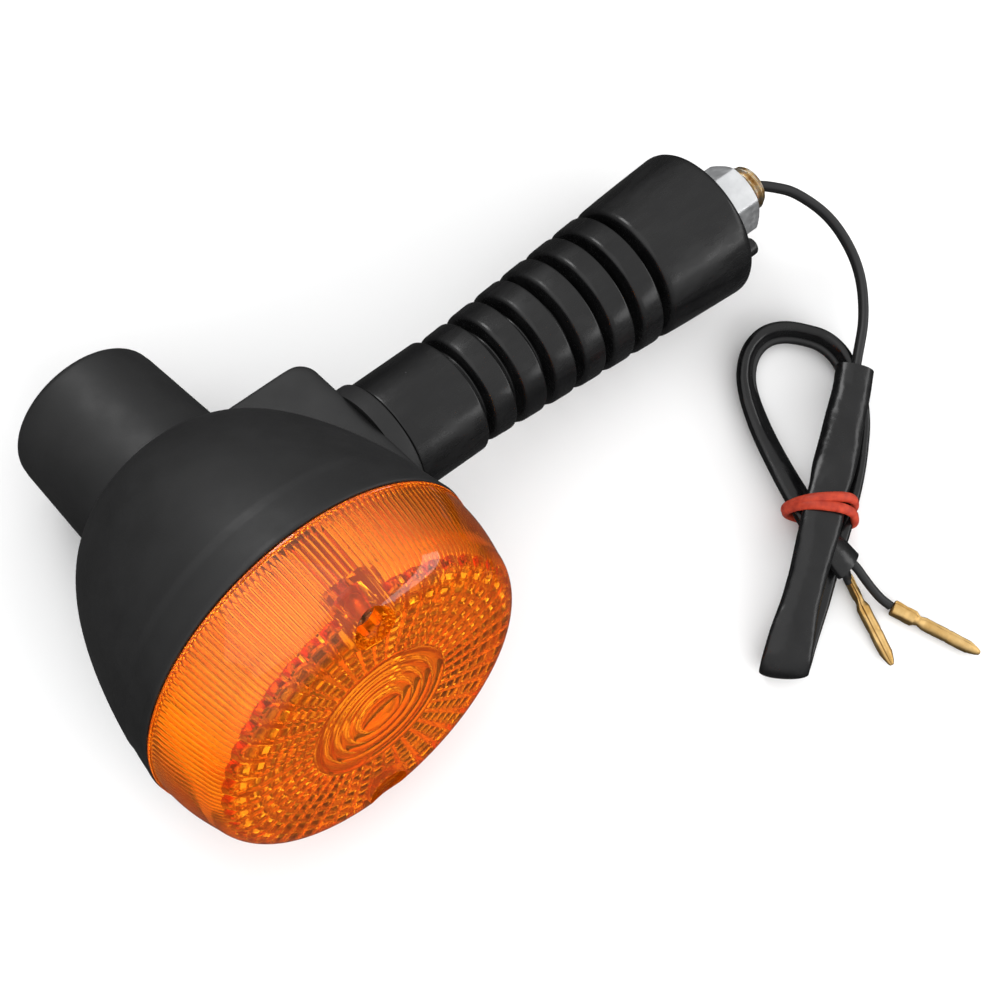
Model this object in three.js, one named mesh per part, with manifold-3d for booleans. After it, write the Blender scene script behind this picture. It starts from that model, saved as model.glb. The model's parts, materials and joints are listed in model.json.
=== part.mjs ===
// Motorcycle turn signal indicator: a round lamp head with an amber lens on a ribbed, flexible rubber
// stem, with a hollow mounting stud, its nut and a bundled pair of leads. Millimetres, +Z up.
//
// The lamp lies on a flat surface, Z = 0, the way it rests on a bench: on the bowl, on the rim of the
// rear barrel and on the shoulder at the end of the stem. The rigid pieces are drawn in the lamp's own
// frame and laid down as one group. In the lamp's own frame the stem's axis is +X, the lens looks along
// -Y, +Z is up on the motorcycle, and the origin is where the two axes cross.
import * as THREE from "three";
import { mergeVertices } from "three/addons/utils/BufferGeometryUtils.js";
import Module from "manifold-3d";

const wasm = await Module();
wasm.setup();

// ---- Driving dimensions ----

const GAP = 0.3;

// How the lamp lies.
const LENS_TILT = THREE.MathUtils.degToRad(19.4);
const STEM_DIP = THREE.MathUtils.degToRad(6.04);
const AXES_CROSS = new THREE.Vector3(-50.66, 3.1, 28.84);

// Housing: a bowl that runs into a rear barrel.
const RIM_Y = -26.2;
const RIM_RADIUS = 36.9;
const WALL = 2.4;
const BARREL_START_Y = 17.2;
const BARREL_START_RADIUS = 17.1;
const BARREL_END_Y = 43.9;
const BARREL_END_RADIUS = 15.8;
const BARREL_EDGE = 2.2;
const LEDGE_DEPTH = 1.8;

// The block on the housing's side that carries the stem.
const BLOCK_END_X = 34.5;
const BLOCK_HALF_LENGTH = 18;
const BLOCK_HALF_HEIGHT = 12;
const BLOCK_CORNER = 4;
const BLOCK_SEAT_X = 30;
const COLLAR_RADIUS = 13;
const COLLAR_END_X = 38;

// Lens.
const LENS_FRONT_Y = -45.5;
const LENS_RADIUS = 34.6;
const LENS_FLANGE_RADIUS = 36.5;
const LENS_EDGE = 7.7;
const LENS_THICKNESS = 2.6;
const SCREW_OFFSET = 27.5;
const POCKET_RADIUS = 4.3;
const POCKET_FLOOR_Y = -38.5;
const SCREW_HEAD_RADIUS = 3.4;
const SCREW_SHANK_RADIUS = 1.6;
const SCREW_TIP_Y = -8;
const POST_RADIUS = 3.4;
const POST_TOP_Y = RIM_Y + GAP;

// Reflector, socket and bulb.
const DISH_VERTEX_Y = -5;
const DISH_FOUR_FOCAL = 52;
const DISH_RADIUS = 31;
const SOCKET_RADIUS = 8.5;
const SOCKET_BORE = 7.8;
const SOCKET_FRONT_Y = 1.5;
const SOCKET_BACK_Y = 31.4;
const BULB_RADIUS = 12.5;
const BULB_CENTRE_Y = -18;
const BULB_BASE_RADIUS = 7.5;
const BULB_BASE_FRONT_Y = 2.9;
const BULB_BASE_BACK_Y = 18.5;
const BULB_PIN_Y = 14;
const BULB_TWIST = THREE.MathUtils.degToRad(20);
const CONTACT_Y = 22.3;
const SPRING_RADIUS = 5.6;
const SPRING_WIRE = 0.45;

// Threaded hollow studs, nuts and washers: M10 with a 1.25 mm pitch.
const STUD_RADIUS = 4.875;
const STUD_BORE = 3;
const CLEAR_RADIUS = 5.2;
const NUT_FLATS = 14;
const FLANGE_RADIUS = 9;
const FLANGE_THICKNESS = 2.5;

// Rubber stem.
const STEM_RADIUS = 12.24;
const STEM_BORE = 3.5;
const FIRST_RIB_X = 56.8;
const RIB_PITCH = 7.3;
const RIB_COUNT = 6;
const GROOVE_WIDTH = 2.15;
const GROOVE_RADIUS = 8.8;
const FIRST_RIB_RADIUS = 11.8;
const RIB_STEP = 0.52;
const RIB_FLARE = 0.2;
const SHOULDER_RADIUS = 16.3;
const SHOULDER_X = 122.3;
const SHOULDER_EDGE = 2.4;
const PEG_RADIUS = 1.9;
const PEG_OFFSET = 11.8;
const PEG_LENGTH = 3.8;
const SHOULDER_RECESS_RADIUS = 9.2;
const SHOULDER_RECESS_DEPTH = 0.3;

// Mounting stud.
const STUD_END_X = 137.5;
const SPRING_WASHER_THICKNESS = 2.1;
const NUT_THICKNESS = 8;
const NUT_TURN = 0.616;

// Leads and their sleeve.
const LEAD_RADIUS = 1.15;
const SLEEVE_RADIUS = 1.9;
const BULLET_RADIUS = 1.6;
const BAND_THICKNESS = 1.4;

// ---- Materials ----

function material(color, roughness, metalness) {
  return new THREE.MeshStandardMaterial({ color, roughness, metalness });
}

const MATTE_PLASTIC = material(0x2b2b2d, 0.6, 0);
const RUBBER = material(0x1a1a1b, 0.35, 0);
const AMBER = material(0xff7a12, 0.12, 0);
const ZINC = material(0xd5d7d8, 0.35, 0.9);
const YELLOW_ZINC = material(0xc8923a, 0.35, 0.9);
const BRASS = material(0xd9ab5c, 0.3, 0.9);
const SPRING_STEEL = material(0x9a9da0, 0.35, 0.9);
const CHROME = material(0xc9cccf, 0.12, 1);
const CLEAR_GLASS = material(0xe8eef0, 0.05, 0);
const TUNGSTEN = material(0x77797b, 0.4, 0.8);
const FIBRE = material(0x6b4a2c, 0.8, 0);
const VITRITE = material(0x141416, 0.3, 0);
const SEAL = material(0x111112, 0.7, 0);
const VINYL = material(0x202022, 0.3, 0);
const BAND = material(0xd8452c, 0.55, 0);

// ---- Shape helpers ----

// A closed mesh as a solid that can be joined and cut.
function solid(geometry) {
  const bare = geometry.index ? geometry.toNonIndexed() : geometry.clone();
  bare.deleteAttribute("normal");
  bare.deleteAttribute("uv");
  const merged = mergeVertices(bare, 1e-3);
  const mesh = new wasm.Mesh({
    numProp: 3,
    vertProperties: merged.attributes.position.array,
    triVerts: new Uint32Array(merged.index.array),
  });
  return new wasm.Manifold(mesh);
}

function geometryOf(body) {
  const mesh = body.getMesh();
  const geometry = new THREE.BufferGeometry();
  geometry.setAttribute("position", new THREE.BufferAttribute(mesh.vertProperties, 3));
  geometry.setIndex(new THREE.BufferAttribute(mesh.triVerts, 1));
  geometry.computeVertexNormals();
  return geometry;
}

// A profile of [radius, distance] points turned about the Y axis.
function turnedAboutY(profile, segments) {
  const points = profile.map(([radius, distance]) => new THREE.Vector2(radius, distance));
  return new THREE.LatheGeometry(points, segments);
}

function turnedAboutX(profile, segments) {
  return turnedAboutY(profile, segments).rotateZ(-Math.PI / 2);
}

// A closed ring profile: [radius, distance] corners, outer side first, with the first corner repeated.
function ring(corners) {
  return [...corners, corners[0]];
}

function rod(radius, from, to) {
  return [[0, from], [radius, from], [radius, to], [0, to]];
}

function tube(outer, inner, from, to) {
  return ring([[outer, from], [outer, to], [inner, to], [inner, from]]);
}

// Points of an arc about [centre radius, centre distance], from one angle to another.
function arc(centre, radius, from, to, steps) {
  const points = [];
  for (let i = 0; i <= steps; i += 1) {
    const angle = from + ((to - from) * i) / steps;
    points.push([centre[0] + radius * Math.cos(angle), centre[1] + radius * Math.sin(angle)]);
  }
  return points;
}

function bezier(a, b, c, d, steps) {
  const corners = [a, b, c, d].map(([x, y]) => new THREE.Vector2(x, y));
  return new THREE.CubicBezierCurve(...corners).getPoints(steps).map((p) => [p.x, p.y]);
}

function box(low, high) {
  const size = high.map((value, axis) => value - low[axis]);
  const centre = high.map((value, axis) => (value + low[axis]) / 2);
  return new THREE.BoxGeometry(...size).translate(...centre);
}

// A round section swept along a smooth curve through the given points.
function sweptTube(points, radius, sides, steps) {
  const section = new THREE.Shape();
  section.absarc(0, 0, radius, 0, Math.PI * 2);
  const path = new THREE.CatmullRomCurve3(points.map((p) => new THREE.Vector3(...p)));
  const outline = new THREE.Shape(section.getSpacedPoints(sides));
  return new THREE.ExtrudeGeometry(outline, { steps, extrudePath: path, bevelEnabled: false });
}

function mesh(name, geometry, finish) {
  const piece = new THREE.Mesh(geometry, finish);
  piece.name = name;
  return piece;
}

// ---- Head: housing, lens and seal ----

// The two lens screws stand above and below the lens axis.
const SCREW_PLACES = [
  ["top", SCREW_OFFSET],
  ["bottom", -SCREW_OFFSET],
];

function housingOutside() {
  const edgeCentre = [BARREL_END_RADIUS - BARREL_EDGE, BARREL_END_Y - BARREL_EDGE];
  return [
    [0, RIM_Y],
    ...bezier([RIM_RADIUS, RIM_Y], [34.6, -8], [28, 13], [BARREL_START_RADIUS, BARREL_START_Y], 9),
    ...arc(edgeCentre, BARREL_EDGE, 0, Math.PI / 2, 3),
    [0, BARREL_END_Y],
  ];
}

function housingInside() {
  const ledgeRadius = RIM_RADIUS - WALL - 0.5;
  const ledgeY = RIM_Y + LEDGE_DEPTH;
  return [
    [0, RIM_Y - 1],
    [ledgeRadius + 1.3, RIM_Y - 1],
    [ledgeRadius + 1.3, ledgeY],
    ...bezier([ledgeRadius, ledgeY], [32.2, -9], [25.6, 11], [BARREL_START_RADIUS - WALL, 15.2], 6),
    [BARREL_END_RADIUS - WALL, BARREL_END_Y - WALL],
    [0, BARREL_END_Y - WALL],
  ];
}

// A block with its two outer upright edges rounded.
function blockShape(endX, halfLength, halfHeight, corner) {
  const outline = new THREE.Shape();
  outline.moveTo(0, -halfLength);
  outline.lineTo(endX - corner, -halfLength);
  outline.absarc(endX - corner, -halfLength + corner, corner, -Math.PI / 2, 0);
  outline.lineTo(endX, halfLength - corner);
  outline.absarc(endX - corner, halfLength - corner, corner, 0, Math.PI / 2);
  outline.lineTo(0, halfLength);
  const depth = halfHeight * 2;
  const block = new THREE.ExtrudeGeometry(outline, { depth, bevelEnabled: false, curveSegments: 3 });
  return block.translate(0, 0, -halfHeight);
}

function screwBore(radius, from, to, z) {
  return solid(turnedAboutY(rod(radius, from, to), 14).translate(0, 0, z));
}

function housing() {
  const shell = solid(turnedAboutY(housingOutside(), 44));
  const block = solid(blockShape(BLOCK_END_X, BLOCK_HALF_LENGTH, BLOCK_HALF_HEIGHT, BLOCK_CORNER));
  const collar = solid(turnedAboutX(rod(COLLAR_RADIUS, 20, COLLAR_END_X), 32));
  const hollow = solid(turnedAboutY(housingInside(), 32));
  const blockHollow = solid(
    blockShape(BLOCK_SEAT_X, BLOCK_HALF_LENGTH - WALL, BLOCK_HALF_HEIGHT - WALL, BLOCK_CORNER / 2),
  );
  const stemBore = solid(turnedAboutX(rod(CLEAR_RADIUS, 20, COLLAR_END_X + 1), 24));
  let body = shell.add(block).add(collar).subtract(hollow).subtract(blockHollow).subtract(stemBore);
  for (const [, z] of SCREW_PLACES) {
    const post = screwBore(POST_RADIUS, POST_TOP_Y, 8, z).intersect(shell);
    body = body.add(post).subtract(screwBore(SCREW_SHANK_RADIUS + GAP, RIM_Y - 1, SCREW_TIP_Y + 2, z));
  }
  return mesh("housing", geometryOf(body), MATTE_PLASTIC);
}

function lensSeal() {
  const outer = RIM_RADIUS - WALL + 0.5;
  const profile = tube(outer, outer - 1.9, RIM_Y, RIM_Y + LEDGE_DEPTH - GAP);
  return mesh("lens_seal", turnedAboutY(profile, 44), SEAL);
}

const LENS_BASE_Y = RIM_Y - GAP;
const LENS_EDGE_CENTRE = [LENS_RADIUS - LENS_EDGE, LENS_FRONT_Y + LENS_EDGE];

function lensOutside() {
  return [
    [0, LENS_FRONT_Y],
    ...arc(LENS_EDGE_CENTRE, LENS_EDGE, -Math.PI / 2, 0, 4),
    [LENS_FLANGE_RADIUS - 0.7, LENS_BASE_Y - 1.7],
    [LENS_FLANGE_RADIUS, LENS_BASE_Y - 1.5],
    [LENS_FLANGE_RADIUS, LENS_BASE_Y],
  ];
}

function lensInside() {
  return [
    [LENS_FLANGE_RADIUS - LENS_THICKNESS, LENS_BASE_Y],
    ...arc(LENS_EDGE_CENTRE, LENS_EDGE - LENS_THICKNESS, 0, -Math.PI / 2, 3),
    [0, LENS_FRONT_Y + LENS_THICKNESS],
  ];
}

function lens() {
  let body = solid(turnedAboutY([...lensOutside(), ...lensInside()], 44));
  const outside = solid(turnedAboutY([...lensOutside(), [0, LENS_BASE_Y]], 44));
  for (const [, z] of SCREW_PLACES) {
    const cup = screwBore(POCKET_RADIUS + 1.3, LENS_FRONT_Y, POCKET_FLOOR_Y + 2.5, z);
    const leg = screwBore(POST_RADIUS, POCKET_FLOOR_Y, POST_TOP_Y - GAP, z);
    const pocket = screwBore(POCKET_RADIUS, LENS_FRONT_Y - 1, POCKET_FLOOR_Y, z);
    const bore = screwBore(SCREW_SHANK_RADIUS + GAP, LENS_FRONT_Y, RIM_Y + 1, z);
    body = body.add(cup.intersect(outside)).add(leg).subtract(pocket).subtract(bore);
  }
  return mesh("lens", geometryOf(body), AMBER);
}

function lensScrew(place, z) {
  const under = POCKET_FLOOR_Y - GAP;
  const profile = [
    [0, under - 2.4],
    [SCREW_HEAD_RADIUS * 0.6, under - 2.3],
    [SCREW_HEAD_RADIUS * 0.93, under - 1.6],
    [SCREW_HEAD_RADIUS, under - 0.8],
    [SCREW_HEAD_RADIUS, under],
    [SCREW_SHANK_RADIUS, under],
    [SCREW_SHANK_RADIUS, SCREW_TIP_Y - 3],
    [0, SCREW_TIP_Y],
  ];
  return mesh("lens_screw_" + place, turnedAboutY(profile, 16).translate(0, 0, z), ZINC);
}

// ---- Head: reflector, bulb holder and bulb ----

function dishPoints(offset, from, to, steps) {
  const points = [];
  for (let i = 0; i <= steps; i += 1) {
    const radius = from + ((to - from) * i) / steps;
    points.push([radius, DISH_VERTEX_Y + offset - (radius * radius) / DISH_FOUR_FOCAL]);
  }
  return points;
}

function reflector() {
  const sheet = 0.9;
  const neck = SOCKET_RADIUS + GAP;
  const neckBack = 1.8;
  const profile = ring([
    [neck, neckBack],
    [neck, -2.5],
    ...dishPoints(0, 11.5, DISH_RADIUS, 5),
    [33.6, -24.1],
    [33.6, -23.2],
    ...dishPoints(sheet, DISH_RADIUS, 12, 5),
    [neck + sheet, -2.3],
    [neck + sheet, neckBack],
  ]);
  let body = solid(turnedAboutY(profile, 36));
  for (const [, z] of SCREW_PLACES) {
    body = body.subtract(screwBore(POST_RADIUS + 0.5, RIM_Y, 0, z));
  }
  return mesh("reflector", geometryOf(body), CHROME);
}

// The socket's two J-shaped slots let the bulb's pins in along the axis and then round to their stops.
function socketShell() {
  const profile = ring([
    [SOCKET_RADIUS, SOCKET_FRONT_Y],
    [SOCKET_RADIUS, SOCKET_BACK_Y],
    [3, SOCKET_BACK_Y],
    [3, SOCKET_BACK_Y - 1],
    [SOCKET_BORE, SOCKET_BACK_Y - 1],
    [SOCKET_BORE, SOCKET_FRONT_Y],
  ]);
  let body = solid(turnedAboutY(profile, 28));
  const slotHalf = 1.6;
  const slotBack = BULB_PIN_Y + 3.6;
  for (const side of [0, Math.PI]) {
    for (let i = 0; i <= 3; i += 1) {
      const front = i === 3 ? SOCKET_FRONT_Y - 1 : BULB_PIN_Y - 1.4;
      const cut = box([SOCKET_BORE - 1, front, -slotHalf], [SOCKET_RADIUS + 1, slotBack, slotHalf]);
      body = body.subtract(solid(cut.rotateY(side + (BULB_TWIST * i) / 3)));
    }
  }
  return mesh("socket_shell", geometryOf(body), BRASS);
}

function bulbGlass() {
  const outside = arc([0, BULB_CENTRE_Y], BULB_RADIUS, -Math.PI / 2, 0, 5);
  const inside = arc([0, BULB_CENTRE_Y], BULB_RADIUS - 0.8, 0, -Math.PI / 2, 5);
  const profile = [
    ...outside,
    [11.4, -11.5],
    [8.4, -4],
    [6.9, 0],
    [6.9, BULB_BASE_FRONT_Y - GAP],
    [6.1, BULB_BASE_FRONT_Y - GAP],
    [6.1, 0],
    [7.6, -4],
    [10.6, -11.5],
    ...inside,
  ];
  return mesh("bulb_glass", turnedAboutY(profile, 20), CLEAR_GLASS);
}

// The glass stem with its two support wires and the filament across them.
function bulbFilament() {
  const filamentY = BULB_PIN_Y - 31.8;
  const legX = 3;
  let body = solid(turnedAboutY(rod(2.6, -7, BULB_BASE_FRONT_Y - GAP), 12));
  const crossBar = turnedAboutX(rod(0.45, -legX - 0.5, legX + 0.5), 8).translate(0, filamentY, 0);
  body = body.add(solid(crossBar));
  const foot = turnedAboutX(rod(0.5, -legX - 0.5, legX + 0.5), 8).translate(0, -6, 0);
  body = body.add(solid(foot));
  for (const x of [-legX, legX]) {
    body = body.add(solid(turnedAboutY(rod(0.35, filamentY, -6), 8).translate(x, 0, 0)));
  }
  return mesh("bulb_filament", geometryOf(body), TUNGSTEN);
}

function bulbBase() {
  const can = solid(turnedAboutY(rod(BULB_BASE_RADIUS, BULB_BASE_FRONT_Y, BULB_BASE_BACK_Y), 28));
  const pins = turnedAboutX(rod(1, -8.7, 8.7), 12).translate(0, BULB_PIN_Y, 0);
  return mesh("bulb_base", geometryOf(can.add(solid(pins))), BRASS);
}

function bulbInsulator() {
  const front = BULB_BASE_BACK_Y + GAP;
  const profile = [[0, front], [6.9, front], [3.2, front + 1.8], [0, front + 1.8]];
  return mesh("bulb_insulator", turnedAboutY(profile, 24), VITRITE);
}

function bulbContact() {
  const front = BULB_BASE_BACK_Y + 2 * GAP + 1.8;
  const profile = [[0, front], [2.4, front], [1.9, CONTACT_Y - 0.5], [0, CONTACT_Y - GAP]];
  return mesh("bulb_contact", turnedAboutY(profile, 16), ZINC);
}

// The sprung fibre disc that presses the live contact against the bulb.
function contactDisc() {
  const profile = tube(7.4, 2.3, CONTACT_Y + 1.1, CONTACT_Y + 2.7);
  return mesh("contact_disc", turnedAboutY(profile, 32), FIBRE);
}

function contactRivet() {
  const headBack = CONTACT_Y + 0.8;
  const back = CONTACT_Y + 4;
  const profile = [[0, CONTACT_Y], [3.2, CONTACT_Y], [3.2, headBack], [2, headBack], [2, back], [0, back]];
  return mesh("contact_rivet", turnedAboutY(profile, 20), BRASS);
}

function contactSpring() {
  const turns = 3;
  const front = CONTACT_Y + 2.7 + GAP + SPRING_WIRE;
  const back = SOCKET_BACK_Y - 1 - GAP - SPRING_WIRE;
  const points = [];
  for (let i = 0; i <= turns * 12; i += 1) {
    const angle = (i / 12) * Math.PI * 2;
    const y = front + ((back - front) * i) / (turns * 12);
    points.push([SPRING_RADIUS * Math.cos(angle), y, SPRING_RADIUS * Math.sin(angle)]);
  }
  return mesh("contact_spring", sweptTube(points, SPRING_WIRE, 6, turns * 12), SPRING_STEEL);
}

// Leads inside the head: from the contact and from the socket to the bore of the stem's bolt.
const INNER_LIVE_ROUTE = [
  [0, 26.7, 0], [0, 30, 0], [0.8, 34, 0], [4, 37.6, 0], [8.3, 37.2, 0], [10.8, 33, 0], [11, 26, 0],
  [11.2, 17, 0.6], [13.5, 8.5, 1.2], [18, 2.6, 1.4], [22.5, 0.6, 1.4], [26, 0.3, 1.4],
];
const INNER_EARTH_ROUTE = [
  [10.2, 24, -3.6], [10.6, 19, -3.4], [11.4, 13, -2.8], [13.8, 6.2, -1.8], [17.6, 1.6, -1.4],
  [21.5, 0.1, -1.3], [26, 0, -1.3],
];

function innerLead(name, route) {
  return mesh(name, sweptTube(route, LEAD_RADIUS - 0.15, 8, 22), VINYL);
}

// ---- Fixing of the head on the stem ----

// A hollow threaded stud with a round flange that the rubber is moulded around.
function flangedStud(name, flangeFrom, stub, finish) {
  const flangeTo = flangeFrom + FLANGE_THICKNESS;
  const shank = solid(turnedAboutX(tube(STUD_RADIUS, STUD_BORE, ...stub), 20));
  const flange = solid(turnedAboutX(tube(FLANGE_RADIUS, STUD_BORE, flangeFrom, flangeTo), 20));
  return mesh(name, geometryOf(shank.add(flange)), finish);
}

function nut(name, from, thickness, turn) {
  const across = NUT_FLATS / Math.sqrt(3);
  const to = from + thickness;
  const prism = new THREE.CylinderGeometry(across, across, thickness, 6).rotateZ(-Math.PI / 2);
  prism.rotateX(turn).translate((from + to) / 2, 0, 0);
  const round = NUT_FLATS / 2;
  const profile = [
    [0, from], [round, from], [across + 0.1, from + 0.75], [across + 0.1, to - 0.75], [round, to], [0, to],
  ];
  const bore = rod(STUD_RADIUS + GAP, from - 1, to + 1);
  const chamfered = solid(prism).intersect(solid(turnedAboutX(profile, 30)));
  const body = chamfered.subtract(solid(turnedAboutX(bore, 20)));
  return mesh(name, geometryOf(body), ZINC);
}

const HEAD_FLANGE_X = 48;
const HEAD_STUD_START_X = 20.5;
const HEAD_NUT_X = 21.4;
const HEAD_NUT_THICKNESS = 6;

function headWasher() {
  const from = HEAD_NUT_X + HEAD_NUT_THICKNESS + GAP;
  return mesh("head_washer", turnedAboutX(tube(9, CLEAR_RADIUS, from, BLOCK_SEAT_X - GAP), 28), ZINC);
}

// ---- Rubber stem ----

function ribRadius(index) {
  return FIRST_RIB_RADIUS + RIB_STEP * index;
}

function ribStart(index) {
  return FIRST_RIB_X + RIB_PITCH * index;
}

// Outer corners of ribs first to last, and of the grooves before, between and after them.
function ribbedOutside(first, last, from, to) {
  const points = [];
  if (from < ribStart(first)) {
    points.push([GROOVE_RADIUS, from], [GROOVE_RADIUS, ribStart(first)]);
  }
  for (let i = first; i <= last; i += 1) {
    const ribEnd = ribStart(i + 1) - GROOVE_WIDTH;
    points.push([ribRadius(i), ribStart(i)], [ribRadius(i) + RIB_FLARE, ribEnd]);
    const grooveEnd = i === last ? to : ribStart(i + 1);
    if (grooveEnd > ribEnd) {
      points.push([GROOVE_RADIUS, ribEnd], [GROOVE_RADIUS, grooveEnd]);
    }
  }
  return points;
}

function ribbedPiece(name, first, last, from, to) {
  const profile = ring([...ribbedOutside(first, last, from, to), [STEM_BORE, to], [STEM_BORE, from]]);
  return mesh(name, turnedAboutX(profile, 32), RUBBER);
}

const SLEEVE_END_X = FIRST_RIB_X - GROOVE_WIDTH;
const MIDDLE_START_X = ribStart(2);
const MIDDLE_END_X = ribStart(4) - GROOVE_WIDTH;
const BASE_START_X = ribStart(RIB_COUNT);
const BASE_FLANGE_X = BASE_START_X + 3;

function stemHeadEnd() {
  const cavityFrom = HEAD_FLANGE_X - GAP;
  const cavityTo = HEAD_FLANGE_X + FLANGE_THICKNESS + GAP;
  const profile = ring([
    [STEM_RADIUS, COLLAR_END_X + GAP],
    [STEM_RADIUS, SLEEVE_END_X],
    [STEM_BORE, SLEEVE_END_X],
    [STEM_BORE, cavityTo],
    [FLANGE_RADIUS + GAP, cavityTo],
    [FLANGE_RADIUS + GAP, cavityFrom],
    [CLEAR_RADIUS, cavityFrom],
    [CLEAR_RADIUS, COLLAR_END_X + GAP],
  ]);
  return mesh("stem_head_end", turnedAboutX(profile, 32), RUBBER);
}

// The end block flares to a flat shoulder, with a shallow recess round the stud and a peg that keeps it from
// turning in its bracket.
function stemMountEnd() {
  const cavityFrom = BASE_FLANGE_X - GAP;
  const cavityTo = BASE_FLANGE_X + FLANGE_THICKNESS + GAP;
  const edgeCentre = [SHOULDER_RADIUS - SHOULDER_EDGE, SHOULDER_X - SHOULDER_EDGE];
  const profile = ring([
    [ribRadius(RIB_COUNT), BASE_START_X],
    ...arc(edgeCentre, SHOULDER_EDGE, 0, Math.PI / 2, 3),
    [SHOULDER_RECESS_RADIUS, SHOULDER_X],
    [SHOULDER_RECESS_RADIUS, SHOULDER_X - SHOULDER_RECESS_DEPTH],
    [CLEAR_RADIUS, SHOULDER_X - SHOULDER_RECESS_DEPTH],
    [CLEAR_RADIUS, cavityTo],
    [FLANGE_RADIUS + GAP, cavityTo],
    [FLANGE_RADIUS + GAP, cavityFrom],
    [STEM_BORE, cavityFrom],
    [STEM_BORE, BASE_START_X],
  ]);
  const pegProfile = [
    [0, SHOULDER_X - 3],
    [PEG_RADIUS, SHOULDER_X - 3],
    [PEG_RADIUS, SHOULDER_X + PEG_LENGTH - 0.8],
    [PEG_RADIUS - 0.8, SHOULDER_X + PEG_LENGTH],
    [0, SHOULDER_X + PEG_LENGTH],
  ];
  const peg = solid(turnedAboutX(pegProfile, 12).translate(0, -PEG_OFFSET, 0));
  const body = solid(turnedAboutX(profile, 36)).add(peg);
  return mesh("stem_mount_end", geometryOf(body), RUBBER);
}

// ---- Mounting hardware ----

const WASHER_X = SHOULDER_X + GAP;
const NUT_X = WASHER_X + SPRING_WASHER_THICKNESS + GAP;

function springWasher() {
  const disc = solid(turnedAboutX(tube(8.4, CLEAR_RADIUS, WASHER_X, WASHER_X + SPRING_WASHER_THICKNESS), 32));
  const split = box([WASHER_X - 1, 4, -0.6], [WASHER_X + 4, 10, 0.6]).rotateX(0.9);
  return mesh("spring_washer", geometryOf(disc.subtract(solid(split))), ZINC);
}

// ---- Leads, sleeve and band, as they lie on the surface ----

// The pair of leads drops out of the stud, one lead above the other, and enters the sleeve's mouth.
const PAIR_ROUTE = [
  [79.7, 3.1, 15.5], [86.1, 3.1, 14.8], [89.9, -0.5, 14.5], [92.1, -2.4, 14.0], [93.7, -4.8, 13.2],
  [95.5, -8.1, 12.0], [96.8, -11.9, 10.7], [97.1, -16.0, 9.4], [96.8, -19.8, 8.3], [95.7, -23.5, 7.6],
  [93.9, -26.9, 7.2], [91.3, -30.3, 7.1], [88.2, -33.6, 7.1], [84.8, -36.2, 7.2], [81.6, -38.7, 7.3],
];

// The sleeve runs under the band, folds back on itself, turns a loop and comes back through the band.
const SLEEVE_ROUTE = [
  [80.6, -39.5, 7.0], [76.3, -43.0, 7.2], [71.3, -46.3, 8.0], [65.9, -50.0, 9.4], [60.7, -53.3, 10.6],
  [55.7, -56.7, 11.0], [51.1, -60.1, 10.9], [46.9, -63.2, 10.2], [42.2, -66.7, 9.2], [37.6, -70.0, 8.5],
  [32.6, -73.5, 8.0], [28.6, -76.6, 7.1], [26.9, -78.4, 4.9], [28.6, -77.8, 2.7], [32.4, -75.9, 2.0],
  [42.7, -70.7, 2.0], [48.6, -67.3, 2.4], [54.3, -63.7, 3.7], [59.8, -60.4, 3.7], [65.0, -57.1, 2.6],
  [70.4, -53.0, 2.0], [75.3, -48.5, 2.0], [78.8, -43.7, 2.0], [80.8, -38.9, 2.0], [81.7, -34.4, 2.0],
  [80.9, -30.4, 2.0], [78.6, -27.1, 2.0], [75.4, -24.0, 2.0], [71.4, -22.4, 2.0], [66.9, -23.2, 2.0],
  [62.9, -26.3, 2.0], [60.2, -30.6, 2.1], [58.2, -35.5, 2.6], [56.2, -41.2, 3.6], [54.3, -47.0, 5.0],
  [52.8, -52.4, 6.2], [51.8, -57.5, 6.7], [51.1, -62.7, 6.8], [51.3, -67.0, 6.6], [51.7, -70.1, 5.8],
];

const LIVE_TAIL_ROUTE = [
  [52.6, -70.6, 6.4], [52.9, -73.9, 5.3], [53.3, -76.7, 4.0], [54.0, -79.4, 2.6], [54.8, -81.6, 1.9],
];

const EARTH_TAIL_ROUTE = [[51.2, -70.8, 3.9], [51.2, -71.7, 2.8], [51.2, -72.8, 2.2]];

// The pair's leads lie a little over and under its middle line.
function leadOfPair(name, side) {
  const rise = side * (LEAD_RADIUS + GAP / 2);
  const route = PAIR_ROUTE.map(([x, y, z]) => [x, y, z + rise]);
  return mesh(name, sweptTube(route, LEAD_RADIUS, 8, 24), VINYL);
}

// A crimped bullet terminal: crimp barrel, waist, body and tapered tip.
function bullet(name, from, to) {
  const start = new THREE.Vector3(...from);
  const direction = new THREE.Vector3(...to).sub(start);
  const length = direction.length();
  const profile = [
    [0, 0],
    [BULLET_RADIUS, 0],
    [BULLET_RADIUS, 5],
    [BULLET_RADIUS - 0.5, 6],
    [BULLET_RADIUS - 0.15, 7],
    [BULLET_RADIUS - 0.15, length - 3],
    [BULLET_RADIUS - 0.9, length],
    [0, length],
  ];
  const piece = mesh(name, turnedAboutY(profile, 12), BRASS);
  piece.quaternion.setFromUnitVectors(new THREE.Vector3(0, 1, 0), direction.normalize());
  piece.position.copy(start);
  return piece;
}

// The band is one ring that stands across the stacked runs of the sleeve.
const BAND_CENTRE = [53.95, -58.1];
const BAND_WIDTH = 18;
const BAND_TOP = 14.6;
const BAND_BOTTOM = 0.15;
const BAND_LENGTH = 2;
const BAND_RUN = new THREE.Vector2(0.83, 0.56);

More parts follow.
